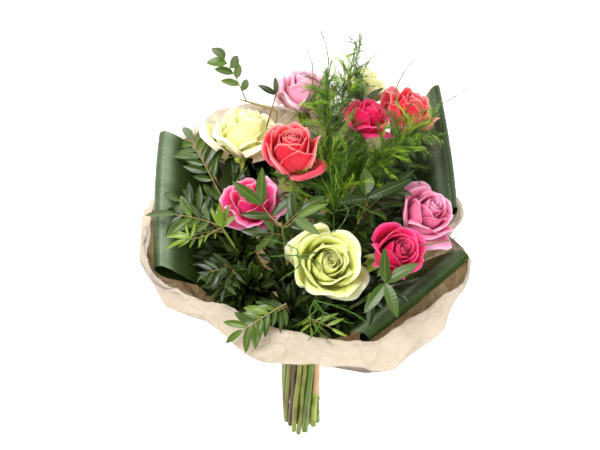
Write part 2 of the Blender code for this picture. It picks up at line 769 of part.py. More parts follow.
def paper_wrap(neck, leaves, lift, collection):
    """The sheet of kraft paper: a neck round the stems, a cone, and a rim turned outwards."""
    tree = surface_tree(leaves)
    last = len(PAPER_ROWS) - 1
    step = 2 * math.pi / PAPER_COLUMNS
    bm = bmesh.new()
    bmesh.ops.create_grid(bm, x_segments=PAPER_COLUMNS, y_segments=last, size=1.0)
    for vert in bm.verts:
        column = round(0.5 * (vert.co.x + 1.0) * PAPER_COLUMNS) % PAPER_COLUMNS
        row = round(0.5 * (vert.co.y + 1.0) * last)
        vert.co = paper_point(column * step, row, step, neck, tree)
    bmesh.ops.remove_doubles(bm, verts=bm.verts[:], dist=1e-6)
    for vert in bm.verts:
        push_up(vert.co, lift, 0.5 * PAPER_THICKNESS)
    bmesh.ops.triangulate(bm, faces=bm.faces[:])
    bmesh.ops.recalc_face_normals(bm, faces=bm.faces[:])
    ease_off(bm, leaves, lift)
    sheet = object_from_bmesh("paper_sheet", bm, collection)
    solidify(sheet, PAPER_THICKNESS)
    mesh = evaluated_mesh(sheet)
    bpy.data.objects.remove(sheet, do_unlink=True)
    for vert in mesh.vertices:
        spot = vert.co.copy()
        push_up(spot, lift, 0.0)
        drop = floor_height(spot, lift)
        if drop < 0.0003:
            spot.y += drop * math.cos(LIE_ANGLE)
            spot.z -= drop * math.sin(LIE_ANGLE)
        vert.co = spot
    return finish("paper_wrap", mesh, collection, material("kraft_paper", KRAFT, 0.9))


def paper_point(azimuth, row, step, neck, tree):
    """A place on the sheet's middle surface."""
    crest = CREST_HEIGHT + by_azimuth(CREST_RISE, azimuth)
    outer = by_azimuth(RIM_REACH, azimuth)
    inner = outer - by_azimuth(RIM_FLARE, azimuth)
    out = Vector((math.cos(azimuth), math.sin(azimuth), 0.0))
    if row <= 1:
        return out * neck + Vector((0, 0, NECK_LOW if row == 0 else NECK_HIGH))
    aside = (-0.6 * step, 0.0, 0.6 * step)
    if row <= CREST_ROW:
        t = PAPER_ROWS[row]
        z = NECK_HIGH + (crest - NECK_HIGH) * t
        r = neck + (inner - neck) * t + 0.010 * math.sin(math.pi * t) + crumple(azimuth, row) * t
        near = (-0.014, -0.007, 0.0, 0.007, 0.014) if row < CREST_ROW else (-0.014, -0.007, 0.0)
        r = max([r] + [leaf_reach(tree, azimuth + a, z + dz) + PAPER_CLEAR for a in aside for dz in near])
        return out * r + Vector((0, 0, z))
    t = PAPER_ROWS[row] - 1.0
    start = max([inner] + [leaf_reach(tree, azimuth + a, crest) + PAPER_CLEAR for a in aside])
    end = max(outer, start + 0.010)
    r = start + (end - start) * math.sin(0.5 * math.pi * t)
    z = crest + 0.003 * math.sin(math.pi * t) - 0.016 * t * t + 1.5 * crumple(azimuth, row)
    return out * r + Vector((0, 0, z))


def surface_tree(things):
    """One search tree over the faces of several objects."""
    verts = []
    faces = []
    for thing in things:
        start = len(verts)
        verts.extend(v.co.copy() for v in thing.data.vertices)
        faces.extend(tuple(start + i for i in poly.vertices) for poly in thing.data.polygons)
    return BVHTree.FromPolygons(verts, faces) if faces else None


# Ties

def tie_ring(name, inside, middle, strands, strand_radius, collection, colour):
    """Turns of a cord laid side by side and drawn tight, as one turned ring."""
    inner = inside / math.cos(math.pi / TIE_STEPS)
    profile = []
    for n in range(strands):
        z = middle + (n - 0.5 * (strands - 1)) * 1.7 * strand_radius
        profile.append((inner + 0.4 * strand_radius, z - 0.8 * strand_radius))
        profile.append((inner + 1.9 * strand_radius, z))
    profile.append((inner + 0.4 * strand_radius, middle + 0.5 * strands * 1.7 * strand_radius))
    profile.append((inner, middle + 0.45 * strands * 1.7 * strand_radius))
    profile.append((inner, middle - 0.45 * strands * 1.7 * strand_radius))
    bm = bmesh.new()
    corners = [bm.verts.new((r, 0.0, z)) for r, z in reversed(profile)]
    for a, b in zip(corners, corners[1:] + corners[:1]):
        bm.edges.new((a, b))
    thing = object_from_bmesh(name, bm, collection)
    turn = thing.modifiers.new("turn", "SCREW")
    turn.steps = TIE_STEPS
    turn.render_steps = TIE_STEPS
    turn.use_merge_vertices = True
    turn.merge_threshold = 0.00001
    turn.use_smooth_shade = True
    mesh = evaluated_mesh(thing)
    bpy.data.objects.remove(thing, do_unlink=True)
    bm = bmesh.new()
    bm.from_mesh(mesh)
    bmesh.ops.recalc_face_normals(bm, faces=bm.faces[:])
    bm.to_mesh(mesh)
    bm.free()
    return finish(name, mesh, collection, material(name, colour, 0.8))


# Pistacia

# How a pinnate leaf is cut: the length and width of a leaflet, its angle to the rachis in degrees, and the
# share of the rachis that is bare. A needle has no width but that of its root.
Cut = namedtuple("Cut", "length width splay bare")
LEAFLET = Cut(0.026, 0.0074, 50, 0.24)
NEEDLE = Cut(0.013, 0.0, 38, 0.10)

# Ways to bend a leaflet clear of its neighbours: lift and swing in degrees, and scale
BEND_CHOICES = ((0, 0, 1.0), (22, 0, 1.0), (-22, 0, 1.0), (40, 10, 0.95), (-40, 10, 0.95), (0, -18, 0.9),
                (30, -20, 0.75), (-30, -20, 0.75), (60, 0, 0.8), (-60, 0, 0.8), (0, 0, 0.6))
LEAF_CHOICES = ((0.0, 0.0, 0.0), (0.0, 0.0, 0.010), (0.010, 0.0, 0.006), (-0.010, 0.0, 0.006),
                (0.0, 0.010, 0.006), (0.0, -0.010, 0.006), (0.012, 0.012, 0.014), (-0.012, -0.012, 0.014),
                (0.0, 0.0, 0.020), (0.0, 0.0, -0.010))


def touches(tree, loop, normal, clearance):
    """Whether a flat outline, thickened by the clearance on all sides, meets the surfaces in the tree."""
    centre = sum(loop, Vector()) / len(loop)
    wide = [p + (p - centre).normalized() * clearance for p in loop]
    count = len(loop)
    verts = [p + normal * clearance for p in wide] + [p - normal * clearance for p in wide]
    faces = [tuple(range(count)), tuple(range(count, 2 * count))]
    faces += [(k, (k + 1) % count, count + (k + 1) % count, count + k) for k in range(count)]
    return bool(tree.overlap(BVHTree.FromPolygons(verts, faces)))


def leaflet_outline(foot, head, ahead, side, normal, bend, cut):
    """The outline of a leaflet from its two root points: left edge, tip, right edge."""
    lift, swing, scale = bend
    angle = math.radians(cut.splay + swing)
    way = ahead * math.cos(angle) + side * math.sin(angle)
    way = (way * math.cos(math.radians(lift)) + normal * math.sin(math.radians(lift))).normalized()
    across = normal.cross(way).normalized() * (1 if normal.cross(way).dot(ahead) > 0 else -1)
    return blade_outline((foot + head) * 0.5, way, across, normal, cut, scale)


def blade_outline(root, way, across, normal, cut, scale):
    """The edge of a leaflet or a needle, from its left shoulder over the tip to its right shoulder."""
    size = cut.length * scale
    half = 0.5 * cut.width * scale
    droop = normal * -0.10 * size
    tip = root + way * size + droop
    if cut.width == 0.0:
        return [tip]
    near = root + way * 0.40 * size
    far = root + way * 0.74 * size + droop * 0.5
    left = [near - across * half, far - across * 0.68 * half]
    right = [far + across * 0.68 * half, near + across * half]
    return [*left, tip, *right]


def add_blade(verts, faces, foot, head, outline):
    """Append a leaflet's points and its faces."""
    first = len(verts)
    verts.extend(outline)
    if len(outline) == 1:
        faces.append((foot, first, head))
        return
    faces.append((foot, first, first + 4, head))
    faces.append((first, first + 1, first + 3, first + 4))
    faces.append((first + 1, first + 2, first + 3))


def pinnate_leaf(name, start, tip, pairs, cut, nudges, tree, collection):
    """A leaf with pairs of leaflets and one at its end, cut from a thin sheet and bent clear of the rest."""
    best = None
    for nudge in nudges:
        made = lay_out_leaf(start, tip + Vector(nudge), pairs, cut, tree)
        if made and (best is None or made[0] > best[0]):
            best = made
        if best and best[0] >= 2 * pairs + 1:
            break
    if best is None or best[0] < 1:
        return None
    kept, verts, faces = best
    bm = bmesh.new()
    corners = [bm.verts.new(v) for v in verts]
    for face in faces:
        bm.faces.new([corners[i] for i in face])
    bmesh.ops.triangulate(bm, faces=bm.faces[:])
    bmesh.ops.recalc_face_normals(bm, faces=bm.faces[:])
    thing = object_from_bmesh(name, bm, collection)
    solidify(thing, BLADE_THICKNESS)
    return thing


def lay_out_leaf(start, tip, pairs, cut, tree):
    """Points and faces of a pinnate leaf and the number of leaflets that found room, or nothing."""
    reach = tip - start
    out = Vector((start.x, start.y, 0.0))
    up = (Vector((0, 0, 1)) + (out.normalized() * 0.5 if out.length > 0.01 else Vector()))
    up = (up - reach.normalized() * up.dot(reach.normalized())).normalized()
    share = max(0.35, 1.0 - cut.length / reach.length)
    stations = [0.0]
    stations += [share * (cut.bare + (1.0 - cut.bare) * (k + 1) / (pairs + 0.6)) for k in range(pairs)]
    stations.append(share)

    def along(t):
        return start + reach * t + up * 0.12 * reach.length * math.sin(math.pi * min(t, 1.0))

    verts = []
    faces = []
    kept = 0
    last = None
    half = 0.5 * RACHIS_WIDTH
    step = half / reach.length
    own = [None, None]
    for n, t in enumerate(stations):
        ahead = (along(t + 0.02) - along(t - 0.02)).normalized()
        side = up.cross(ahead).normalized()
        normal = ahead.cross(side).normalized()
        end = n == len(stations) - 1
        marks = [t] if n == 0 or end else [t - step, t + step]
        first = len(verts)
        for mark in marks:
            verts += [along(mark) - side * half, along(mark) + side * half]
        if n == 0:
            last = first
            continue
        strip = [verts[last], verts[last + 1], verts[first + 1], verts[first]]
        if touches(tree, strip, normal, CLEARANCE):
            return None
        faces.append((last, last + 1, first + 1, first))
        if end:
            root = (verts[first] + verts[first + 1]) * 0.5
            outline = blade_outline(root, ahead, side, normal, cut, 1.0)
            if not touches(tree, [verts[first], *outline, verts[first + 1]], normal, CLEARANCE):
                kept += 1
                add_blade(verts, faces, first, first + 1, outline)
            break
        faces.append((first, first + 1, first + 3, first + 2))
        for hand, (foot, head, way) in enumerate(((first, first + 2, -side), (first + 1, first + 3, side))):
            for bend in BEND_CHOICES:
                outline = leaflet_outline(verts[foot], verts[head], ahead, way, normal, bend, cut)
                loop = [verts[foot], *outline, verts[head]]
                if touches(tree, loop, normal, CLEARANCE):
                    continue
                if own[hand] and touches(own[hand], loop, normal, GAP):
                    continue
                kept += 1
                add_blade(verts, faces, foot, head, outline)
                own[hand] = BVHTree.FromPolygons(loop, [tuple(range(len(loop)))])
                break
        last = first + 2
    return kept, verts, faces


def point_at_height(route, z):
    """The place on a stem's route at a height."""
    for low, high in zip(route, route[1:]):
        if low.z <= z <= high.z:
            return low.lerp(high, (z - low.z) / max(high.z - low.z, 1e-9))
    return route[-1].copy()


def spray_stem(spray, route, collection):
    """The woody stem of a spray."""
    points = thin_out(route, ROUTE_TOLERANCE)
    radii = [float(np.interp(p.z, (BIND_HIGH, 0.2), (STEM_RADIUS["pistacia"], 0.0016))) for p in points]
    return tube("pistacia_" + spray.name + "_tube", points, radii, collection)


def pistacia(spray, stem, route, others, collection, workshop):
    """A woody stem with its pinnate leaves."""
    name = "pistacia_" + spray.name
    leaves = []
    for n, (height, tip, pairs) in enumerate(spray.leaves):
        start = point_at_height(route, height)
        leaf = pinnate_leaf(f"{name}_leaf_{n}", start, Vector(tip), pairs, LEAFLET, LEAF_CHOICES,
                            surface_tree([*others, *leaves]), workshop)
        if leaf:
            leaves.append(leaf)
    return fuse(name, stem, leaves, collection, material(name, MID_GREEN, 0.45))


# Fern

def plume_spine(plume, t):
    """A place along a plume's bowed upper stem."""
    foot = Vector(plume.foot)
    rise = Vector(plume.tip) - foot
    return foot + rise * t + Vector((0, 0, 1)) * 0.10 * rise.length * math.sin(math.pi * t)


def plume_stem(plume, route, collection):
    """The thin stem of a plume."""
    low = thin_out(route, ROUTE_TOLERANCE)
    radii = [float(np.interp(p.z, (BIND_HIGH, 0.2), (STEM_RADIUS["fern"], 0.0014))) for p in low]
    high = [plume_spine(plume, t) for t in (0.3, 0.65, 1.0)]
    radii += [0.0012, 0.0010, 0.0008]
    return tube("fern_" + plume.name + "_tube", low + high, radii, collection, sides=4)


def fern(plume, stem, others, collection, workshop):
    """A feathery plume: a thin stem with feathers on all sides, each a slim rib with needles."""
    draw = random.Random(plume.name)
    name = "fern_" + plume.name
    ahead = unit(Vector(plume.tip) - Vector(plume.foot))
    feathers = []
    for n in range(plume.branchlets):
        t = 0.06 + 0.90 * n / (plume.branchlets - 1)
        where = plume_spine(plume, t)
        tree = surface_tree([*others, *feathers])
        reach = plume.reach * (1.0 - 0.4 * t) * draw.uniform(0.9, 1.1)
        for attempt in range(8):
            side = ahead.orthogonal().normalized()
            side.rotate(Matrix.Rotation(2.4 * n + 0.7 * attempt, 3, ahead))
            tip = where + (ahead * 0.8 + side * 0.6).normalized() * reach
            feather = pinnate_leaf(f"{name}_feather_{n}", where, tip, NEEDLE_PAIRS, NEEDLE, ((0, 0, 0),),
                                   tree, workshop)
            if feather:
                feathers.append(feather)
                break
    return fuse(name, stem, feathers, collection, material(name, BRIGHT_GREEN, 0.5))


def lay_down(things, lift):
    """Parent everything to one empty that lays the bouquet on its side, centred over the origin."""
    turn = Matrix(((-1, 0, 0), (0, -math.sin(LIE_ANGLE), -math.cos(LIE_ANGLE)),
                   (0, -math.cos(LIE_ANGLE), math.sin(LIE_ANGLE))))
    spots = np.array([turn @ v.co for thing in things for v in thing.data.vertices])
    middle = 0.5 * (spots.min(axis=0) + spots.max(axis=0))
    empty = bpy.data.objects.new("binding_point", None)
    bpy.context.scene.collection.objects.link(empty)
    empty.matrix_world = Matrix.Translation((-middle[0], -middle[1], lift)) @ turn.to_4x4()
    for thing in things:
        thing.parent = empty
    return empty


def build():
    clear_scene()
    bouquet = new_collection("flower_bouquet")
    workshop = new_collection("workshop")
    stems = all_stems()
    spots = pack_bundle(stems)
    radii = np.array([STEM_RADIUS[stem.kind] for stem in stems])
    bundle = float(np.max(np.linalg.norm(spots, axis=1) + radii))
    neck = bundle + GAP + 0.5 * PAPER_THICKNESS + 0.0003
    routes = route_stems(stems, spots, lambda z: neck + 0.48 * (z - NECK_HIGH))
    things = [rose_head(rose, bouquet) for rose in ROSES]
    things += [rose_stem(rose, routes["rose_" + rose.name], bouquet, workshop) for rose in ROSES]
    loops = [aspidistra(loop, routes["aspidistra_" + loop.name], bouquet, workshop) for loop in LOOPS]
    things += loops
    twig_route = routes["cut_twig"]
    twig = tube("twig_tube", twig_route, [STEM_RADIUS["twig"]] * len(twig_route), workshop)
    things.append(finish("cut_twig", twig.data, bouquet, material("cut_twig", PEELED_WOOD, 0.7)))
    bpy.data.objects.remove(twig, do_unlink=True)
    tubes = {spray.name: spray_stem(spray, routes["pistacia_" + spray.name], workshop) for spray in SPRAYS}
    shafts = {plume.name: plume_stem(plume, routes["fern_" + plume.name], workshop) for plume in PLUMES}
    stalks = [*things, *tubes.values(), *shafts.values()]
    lift = -min(floor_height(v.co, 0.0) for thing in stalks for v in thing.data.vertices)
    paper = paper_wrap(neck, loops, lift, bouquet)
    things.append(paper)
    things.append(tie_ring("stem_tie", bundle + GAP, 0.0, 3, 0.0014, bouquet, RAFFIA))
    outside = neck + 0.5 * PAPER_THICKNESS + GAP
    things.append(tie_ring("paper_tie", outside, 0.016, 2, 0.0014, bouquet, RAFFIA))
    for spray in SPRAYS:
        stem = tubes.pop(spray.name)
        others = [*things, *tubes.values(), *shafts.values()]
        things.append(pistacia(spray, stem, routes["pistacia_" + spray.name], others, bouquet, workshop))
    for plume in PLUMES:
        stem = shafts.pop(plume.name)
        things.append(fern(plume, stem, [*things, *shafts.values()], bouquet, workshop))
    lay_down(things, lift)
    bpy.data.collections.remove(workshop)


build()
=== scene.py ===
"""Looks of a hand-tied bouquet that lies on the rim of its paper collar and on the ends of its stems.

Flowers, leaves and stems are laid out in the bouquet's own frame. Its origin is the binding point, +Z runs up the
stems to the flowers, and +Y is the side that the bouquet lies on. Places and sizes in the tables are in millimetres.
"""
import math
import random
from collections import namedtuple
from functools import lru_cache

import bpy
import numpy as np
from bpy.props import FloatProperty, FloatVectorProperty, IntProperty, PointerProperty
from mathutils import Matrix, Vector, noise


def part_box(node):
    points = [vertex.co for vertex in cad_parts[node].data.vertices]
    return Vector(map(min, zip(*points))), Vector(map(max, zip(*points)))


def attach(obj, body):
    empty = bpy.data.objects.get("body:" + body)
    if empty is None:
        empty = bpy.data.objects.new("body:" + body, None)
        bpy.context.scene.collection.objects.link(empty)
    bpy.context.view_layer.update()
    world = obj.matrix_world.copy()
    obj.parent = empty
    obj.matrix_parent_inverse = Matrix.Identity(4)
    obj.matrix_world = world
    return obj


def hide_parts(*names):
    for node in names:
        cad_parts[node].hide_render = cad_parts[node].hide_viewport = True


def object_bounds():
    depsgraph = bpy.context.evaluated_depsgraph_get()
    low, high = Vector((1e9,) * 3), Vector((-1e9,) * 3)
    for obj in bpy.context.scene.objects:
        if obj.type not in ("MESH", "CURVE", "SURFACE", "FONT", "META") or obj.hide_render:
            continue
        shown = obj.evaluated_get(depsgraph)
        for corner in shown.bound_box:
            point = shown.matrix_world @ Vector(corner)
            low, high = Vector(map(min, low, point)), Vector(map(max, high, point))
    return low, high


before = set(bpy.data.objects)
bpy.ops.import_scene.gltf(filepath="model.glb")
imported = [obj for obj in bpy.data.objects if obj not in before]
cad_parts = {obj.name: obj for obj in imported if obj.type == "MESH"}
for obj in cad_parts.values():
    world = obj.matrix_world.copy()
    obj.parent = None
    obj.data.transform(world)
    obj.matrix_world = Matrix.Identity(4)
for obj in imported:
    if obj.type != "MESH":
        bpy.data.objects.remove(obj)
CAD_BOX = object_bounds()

bl_info = {
    "name": "Hand-tied Bouquet",
    "version": (1, 0, 0),
    "blender": (4, 5, 0),
    "location": "View3D > Sidebar > Bouquet",
    "description": "Roses, folded aspidistra leaves, pistacia and fern in a collar of kraft paper",
    "category": "Add Mesh",
}

# How the bouquet lies, and its frame in the world
LIE_ANGLE = math.radians(20.5)
TIE_LOW, TIE_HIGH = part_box("stem_tie")
BINDING_POINT = np.array(TIE_LOW + TIE_HIGH) * 0.5
BOUQUET_AXES = np.array((
    (-1.0, 0.0, 0.0),
    (0.0, -math.sin(LIE_ANGLE), -math.cos(LIE_ANGLE)),
    (0.0, -math.cos(LIE_ANGLE), math.sin(LIE_ANGLE)),
))
MM = 1000.0
UP = np.array((0.0, 0.0, 1.0))
FULL_TURN = 2 * math.pi
GOLDEN_ANGLE = math.radians(137.5)

# Stems
GAP = 0.0003
BIND_LOW = -0.010
BIND_HIGH = 0.026
STEM_SHORT = 0.146
STEM_LONG = 0.172
FIRST_SPREAD = 0.045
PACK_STEPS = 700
SQUEEZE_STEPS = 500
SQUEEZE = 0.985
CLEARING_STEPS = 40
TWIST_RATE = 3.4
SPREAD_RATE = 0.9
LEVEL_STEP = 0.008
STEM_RADIUS = {"rose": 0.0036, "aspidistra": 0.0032, "pistacia": 0.0027, "fern": 0.0021, "twig": 0.0036}
TWIG_END = -0.070
NECK_HIGH = 0.024
WALL_SLOPE = 0.48
PAPER_THICKNESS = 0.0008
CUT_LEVEL = -0.150
LONGEST_CUT = 0.016
UNEVEN = 0.0006
BASE_TO_CENTRE = 0.90
HIP_LENGTH = 0.012


def metres(places):
    """A table of millimetres in metres."""
    return np.array(places, dtype=float) / MM


# A rose: how far its petals are open and ruffled, the way that its stem points, how far its head nods to the front
# and to the right, its number of petals and its turn, with angles in degrees, and the colours of their depth, face,
# rim and back as on screen. Its guards are large outer petals, each as the way that it points, its size and how far
# it is open.
Rose = namedtuple("Rose", "name centre radius openness ruffle axis nod petals turn depth petal rim back guards",
                  defaults=((),))
ROSES = [Rose(name, metres(centre), radius / MM, *rest) for name, centre, radius, *rest in (
    ("cream_left", (-52, 88, 240), 30, 0.62, 2.8, (0.22, 0.62, 0.72), (5, 2), 26, 10,
     (232, 224, 90), (249, 248, 178), (254, 253, 228), (243, 245, 180),
     (((-0.90, 0.35, 0.25), 1.16, 0.9), ((0.10, -0.78, -0.60), 1.10, 0.4), ((0.35, 0.70, 0.60), 1.16, 0.2))),
    ("pink_back", (2, 134, 250), 26, 0.35, 2.0, None, (12, 4), 24, 40,
     (232, 110, 152), (246, 168, 194), (254, 232, 236), (252, 214, 220)),
    ("cream_back", (63, 131, 259), 21, 0.35, 1.8, None, (6, 0), 20, 75,
     (232, 224, 116), (248, 246, 196), (252, 250, 226), (248, 246, 204)),
    ("magenta_mid", (62, 73, 277), 21, 0.70, 2.0, None, (0, 10), 18, 20,
     (170, 0, 48), (224, 14, 88), (244, 76, 130), (216, 34, 98)),
    ("coral_right", (104, 100, 256), 25.5, 0.50, 2.2, None, (8, 0), 24, 5,
     (196, 12, 40), (228, 52, 74), (250, 150, 150), (234, 96, 106)),
    ("coral_center", (-10, 25, 283), 26.5, -0.28, 1.2, None, (-3, 3), 24, 30,
     (200, 6, 34), (230, 36, 60), (253, 172, 170), (240, 98, 112), (((0.72, -0.55, -0.42), 1.0, 1.3),)),
    ("hotpink_left", (-51, 6, 230), 25.5, 0.70, 2.3, None, (2, 8), 22, 60,
     (206, 4, 66), (240, 26, 122), (253, 204, 224), (248, 116, 176)),
    ("green_front", (22, -69, 230), 30, 0.16, 1.2, (0.10, -0.50, 0.86), (-4, 6), 24, 15,
     (228, 228, 72), (242, 246, 160), (252, 253, 222), (230, 238, 146),
     (((-0.60, 0.63, 0.49), 1.14, -0.1), ((0.85, -0.42, -0.32), 1.02, 0.7))),
    ("hotpink_right", (88, -58, 236), 24.5, 0.10, 1.0, None, (0, 0), 24, 50,
     (172, 0, 54), (214, 8, 90), (240, 84, 140), (220, 44, 112)),
    ("pink_right", (121, -2, 223), 25.5, 0.20, 1.2, None, (0, -6), 24, 80,
     (200, 66, 114), (226, 118, 156), (246, 190, 210), (232, 150, 180), (((0.30, -0.75, -0.58), 1.14, 0.9),)),
)]

# A folded leaf: the fold's middle, the fold's direction, its width, and the path of its midrib as distance from
# the axis and height
Loop = namedtuple("Loop", "name fold run width path")
LOOPS = [Loop(name, metres(fold), run, width / MM, metres(path)) for name, fold, run, width, path in (
    ("left", (-138, 31, 205), (0.00, 0.93, 0.36), 136, ((31, 56), (58, 105), (82, 148), (103, 182), (121, 200),
     (135, 206), (142, 200), (138, 192), (118, 172), (94, 137), (82, 113))),
    ("right", (142, 85, 220), (0.12, -0.94, -0.33), 128, ((33, 56), (69, 105), (98, 146), (126, 182), (147, 205),
     (160, 219), (167, 216), (164, 206), (146, 186), (118, 153), (103, 130))),
    ("front", (106, -72, 190), (0.73, 0.68, 0.06), 130, ((31, 56), (61, 105), (84, 140), (104, 170), (117, 185),
     (127, 192), (133, 187), (130, 178), (113, 156), (95, 128), (88, 113))),
)]

# A pistacia spray: where its stem ends, how green its bark is, its leaves, each as the height where it leaves the
# stem, the place of its tip, how young it is from 0 to 1 and its size, and its stars: single leaflets that spread from
# one place, as the height where their stalk leaves the stem, that place, the leaflets' tips, their width as a share of
# their length and how young they are
Spray = namedtuple("Spray", "name top bark leaves stars")
SPRAYS = [Spray(name, metres(top), *rest) for name, top, *rest in (
    ("left_back", (-78, 30, 214), 0.80,
     ((212, (-112, 108, 226), 0.28, 1.00), (190, (-48, 50, 226), 0.35, 0.90)),
     ((190, (-61, 28, 205), ((-83, 68, 216), (-68, 74, 220), (-52, 66, 216)), 0.42, 0.12),
      (206, (-73, -28, 234), ((-85, -16, 246), (-76, -12, 252), (-66, -13, 249), (-59, -21, 242)), 0.28, 0.55))),
    ("left", (-76, -8, 212), 0.95,
     ((210, (-143, 0, 214), 0.30, 1.00), (196, (-132, 32, 214), 0.15, 0.90), (200, (-122, -30, 208), 0.62, 0.80)),
     ((208, (-103, -30, 218), ((-131, -35, 213), (-128, -26, 223), (-122, -19, 226), (-116, -39, 213),
                               (-111, -18, 229), (-96, -17, 230)), 0.16, 0.66),)),
    ("left_front", (-66, -52, 204), 0.70,
     ((202, (-100, -68, 205), 0.06, 0.62), (192, (-72, -92, 200), 0.10, 0.66), (196, (-52, -78, 216), 0.08, 0.62),
      (198, (-84, -60, 222), 0.12, 0.62)), ()),
    ("front", (-14, -96, 208), 0.10,
     ((206, (-70, -130, 190), 0.42, 0.88), (196, (-36, -112, 200), 0.30, 0.80)), ()),
    ("centre", (-18, -32, 246), 0.90,
     ((236, (22, -14, 262), 0.30, 1.00), (222, (-50, -38, 240), 0.22, 0.90)),
     ((240, (-36, -17, 253), ((-37, 5, 280), (-65, -4, 268)), 0.31, 0.38),
      (238, (-27, -23, 243), ((-4, -9, 259), (-56, -24, 245), (-9, -9, 256)), 0.27, 0.18),
      (236, (-5, -35, 256), ((24, -31, 272), (15, -70, 273)), 0.22, 0.46))),
    ("right", (58, -4, 226), 0.75,
     ((222, (106, 26, 252), 0.12, 1.00), (214, (96, -16, 244), 0.10, 1.00)),
     ((224, (60, -5, 254), ((60, 8, 275),), 0.64, 0.30),
      (222, (62, -8, 252), ((105, 5, 262), (34, -13, 248)), 0.24, 0.15))),
    ("front_right", (68, -88, 214), 0.90,
     ((210, (108, -78, 222), 0.12, 0.90), (204, (62, -112, 206), 0.10, 0.90)),
     ((212, (76, -95, 238), ((73, -75, 263), (106, -83, 252), (57, -119, 224), (86, -123, 223)), 0.34, 0.34),)),
    ("back_left", (-60, 122, 244), 0.60,
     ((242, (-88, 170, 266), 0.34, 0.74),),
     ((195, (-24, 109, 265), ((-42, 115, 272), (-24, 123, 276)), 0.32, 0.12),)),
    ("back", (34, 92, 264), 0.85,
     ((254, (6, 92, 276), 0.15, 0.90), (250, (36, 60, 282), 0.15, 0.90)),
     ((262, (58, 91, 273), ((52, 120, 294), (44, 108, 284), (79, 102, 282)), 0.24, 0.16),)),
    ("low_front", (8, -100, 190), 1.00,
     ((188, (10, -134, 194), 0.62, 0.80), (180, (48, -124, 190), 0.64, 0.90)), ()),
)]

# A fern plume: where its stem starts to branch, where its tip is, its number of strands and their length, and the
# ends of its longest wisps, of which those without a start leave the stem at WISP_ROOT
Plume = namedtuple("Plume", "name foot tip strands reach wisps")
WISP_ROOT = 0.150
WISP_LEFT, WISP_FRONT = (-3, -73, 249), (12, -99, 217)
PLUMES = [Plume(name, metres(foot), metres(tip), strands, reach / MM, wisps)
          for name, foot, tip, strands, reach, wisps in (
    ("centre", (30, -4, 236), (22, 104, 306), 150, 54, (
        ((16, 98, 284), (18, 149, 312)), ((-1, 76, 280), (6, 134, 300)), ((36, -10, 251), (31, -39, 241)),
        ((41, -2, 257), (72, -27, 250)), (None, WISP_LEFT), (WISP_LEFT, (-32, -56, 252)),
        (WISP_LEFT, (-27, -72, 247)), (WISP_LEFT, (-15, -90, 240)), (WISP_LEFT, (16, -100, 262)),
        (WISP_LEFT, (10, -86, 272)), (None, WISP_FRONT), (WISP_FRONT, (42, -116, 206)),
        (WISP_FRONT, (63, -117, 200)), (WISP_FRONT, (26, -131, 196)), (WISP_FRONT, (8, -127, 197)),
        (WISP_FRONT, (-6, -118, 203)))),
    ("right", (50, 22, 240), (128, 60, 282), 130, 48, (
        ((91, 68, 274), (160, 113, 270)), ((109, -49, 233), (145, -36, 230)))),
    ("back", (33, 73, 262), (60, 150, 304), 60, 40, (
        ((63, 87, 288), (73, 133, 299)), ((93, 76, 280), (110, 129, 296)))),
)]


# Colours and small sums

def linear(rgb):
    """A colour as it looks on screen, 0 to 255, turned into light."""
    return tuple(c / 12.92 if c <= 0.04045 else ((c + 0.055) / 1.055) ** 2.4 for c in (v / 255.0 for v in rgb))


def paint(colour):
    """A node's colour: three numbers are as on screen, and four are light already."""
    return colour if len(colour) == 4 else (*linear(colour), 1.0)


def smooth(x, low=0.0, high=1.0):
    """A smooth step from 0 at low to 1 at high."""
    t = np.clip((x - low) / (high - low), 0.0, 1.0)
    return t * t * (3.0 - 2.0 * t)


def mix(a, b, t):
    """The value between a and b."""
    return a + (b - a) * t


def unit(vector):
    """The vector at length one."""
    vector = np.asarray(vector, dtype=float)
    return vector / np.linalg.norm(vector)


def square_to(vector, way):
    """The part of a vector at a right angle to the way, at length one."""
    return unit(vector - way * np.dot(vector, way))


def aside(direction):
    """A vector at a right angle to the direction."""
    return unit(np.cross(direction, (0.0, 1.0, 0.0) if abs(direction[0]) > 0.7 else (1.0, 0.0, 0.0)))


def turned(vector, axis, angle):
    """The vector turned about the axis."""
    c, s = math.cos(angle), math.sin(angle)
    return vector * c + np.cross(axis, vector) * s + axis * np.dot(axis, vector) * (1.0 - c)


def around(r, angle, z):
    """Places at a distance from the axis, an angle round it and a height."""
    return np.stack([r * np.cos(angle), r * np.sin(angle), z], axis=-1)


def to_world(points):
    """Places in the bouquet's frame as places in the world."""
    return np.asarray(points) @ BOUQUET_AXES.T + BINDING_POINT


def catmull(a, b, c, d, t):
    """A place between b and c on a smooth curve through all four."""
    return 0.5 * (2 * b + (c - a) * t + (2 * a - 5 * b + 4 * c - d) * t**2 + (3 * b - a - 3 * c + d) * t**3)


def smooth_curve(points, count):
    """Points along a smooth curve through the given ones, evenly spaced along it."""
    pts = [np.array(p, dtype=float) for p in points]
    pts = [2 * pts[0] - pts[1], *pts, 2 * pts[-1] - pts[-2]]
    dense = [catmull(*four, t) for four in zip(pts, pts[1:], pts[2:], pts[3:])
             for t in np.linspace(0.0, 1.0, 16, endpoint=False)]
    dense = np.array([*dense, pts[-2]])
    run = np.concatenate([[0.0], np.cumsum(np.linalg.norm(np.diff(dense, axis=0), axis=1))])
    wanted = np.linspace(0.0, run[-1], count)
    return np.column_stack([np.interp(wanted, run, part) for part in dense.T])


# Mesh making

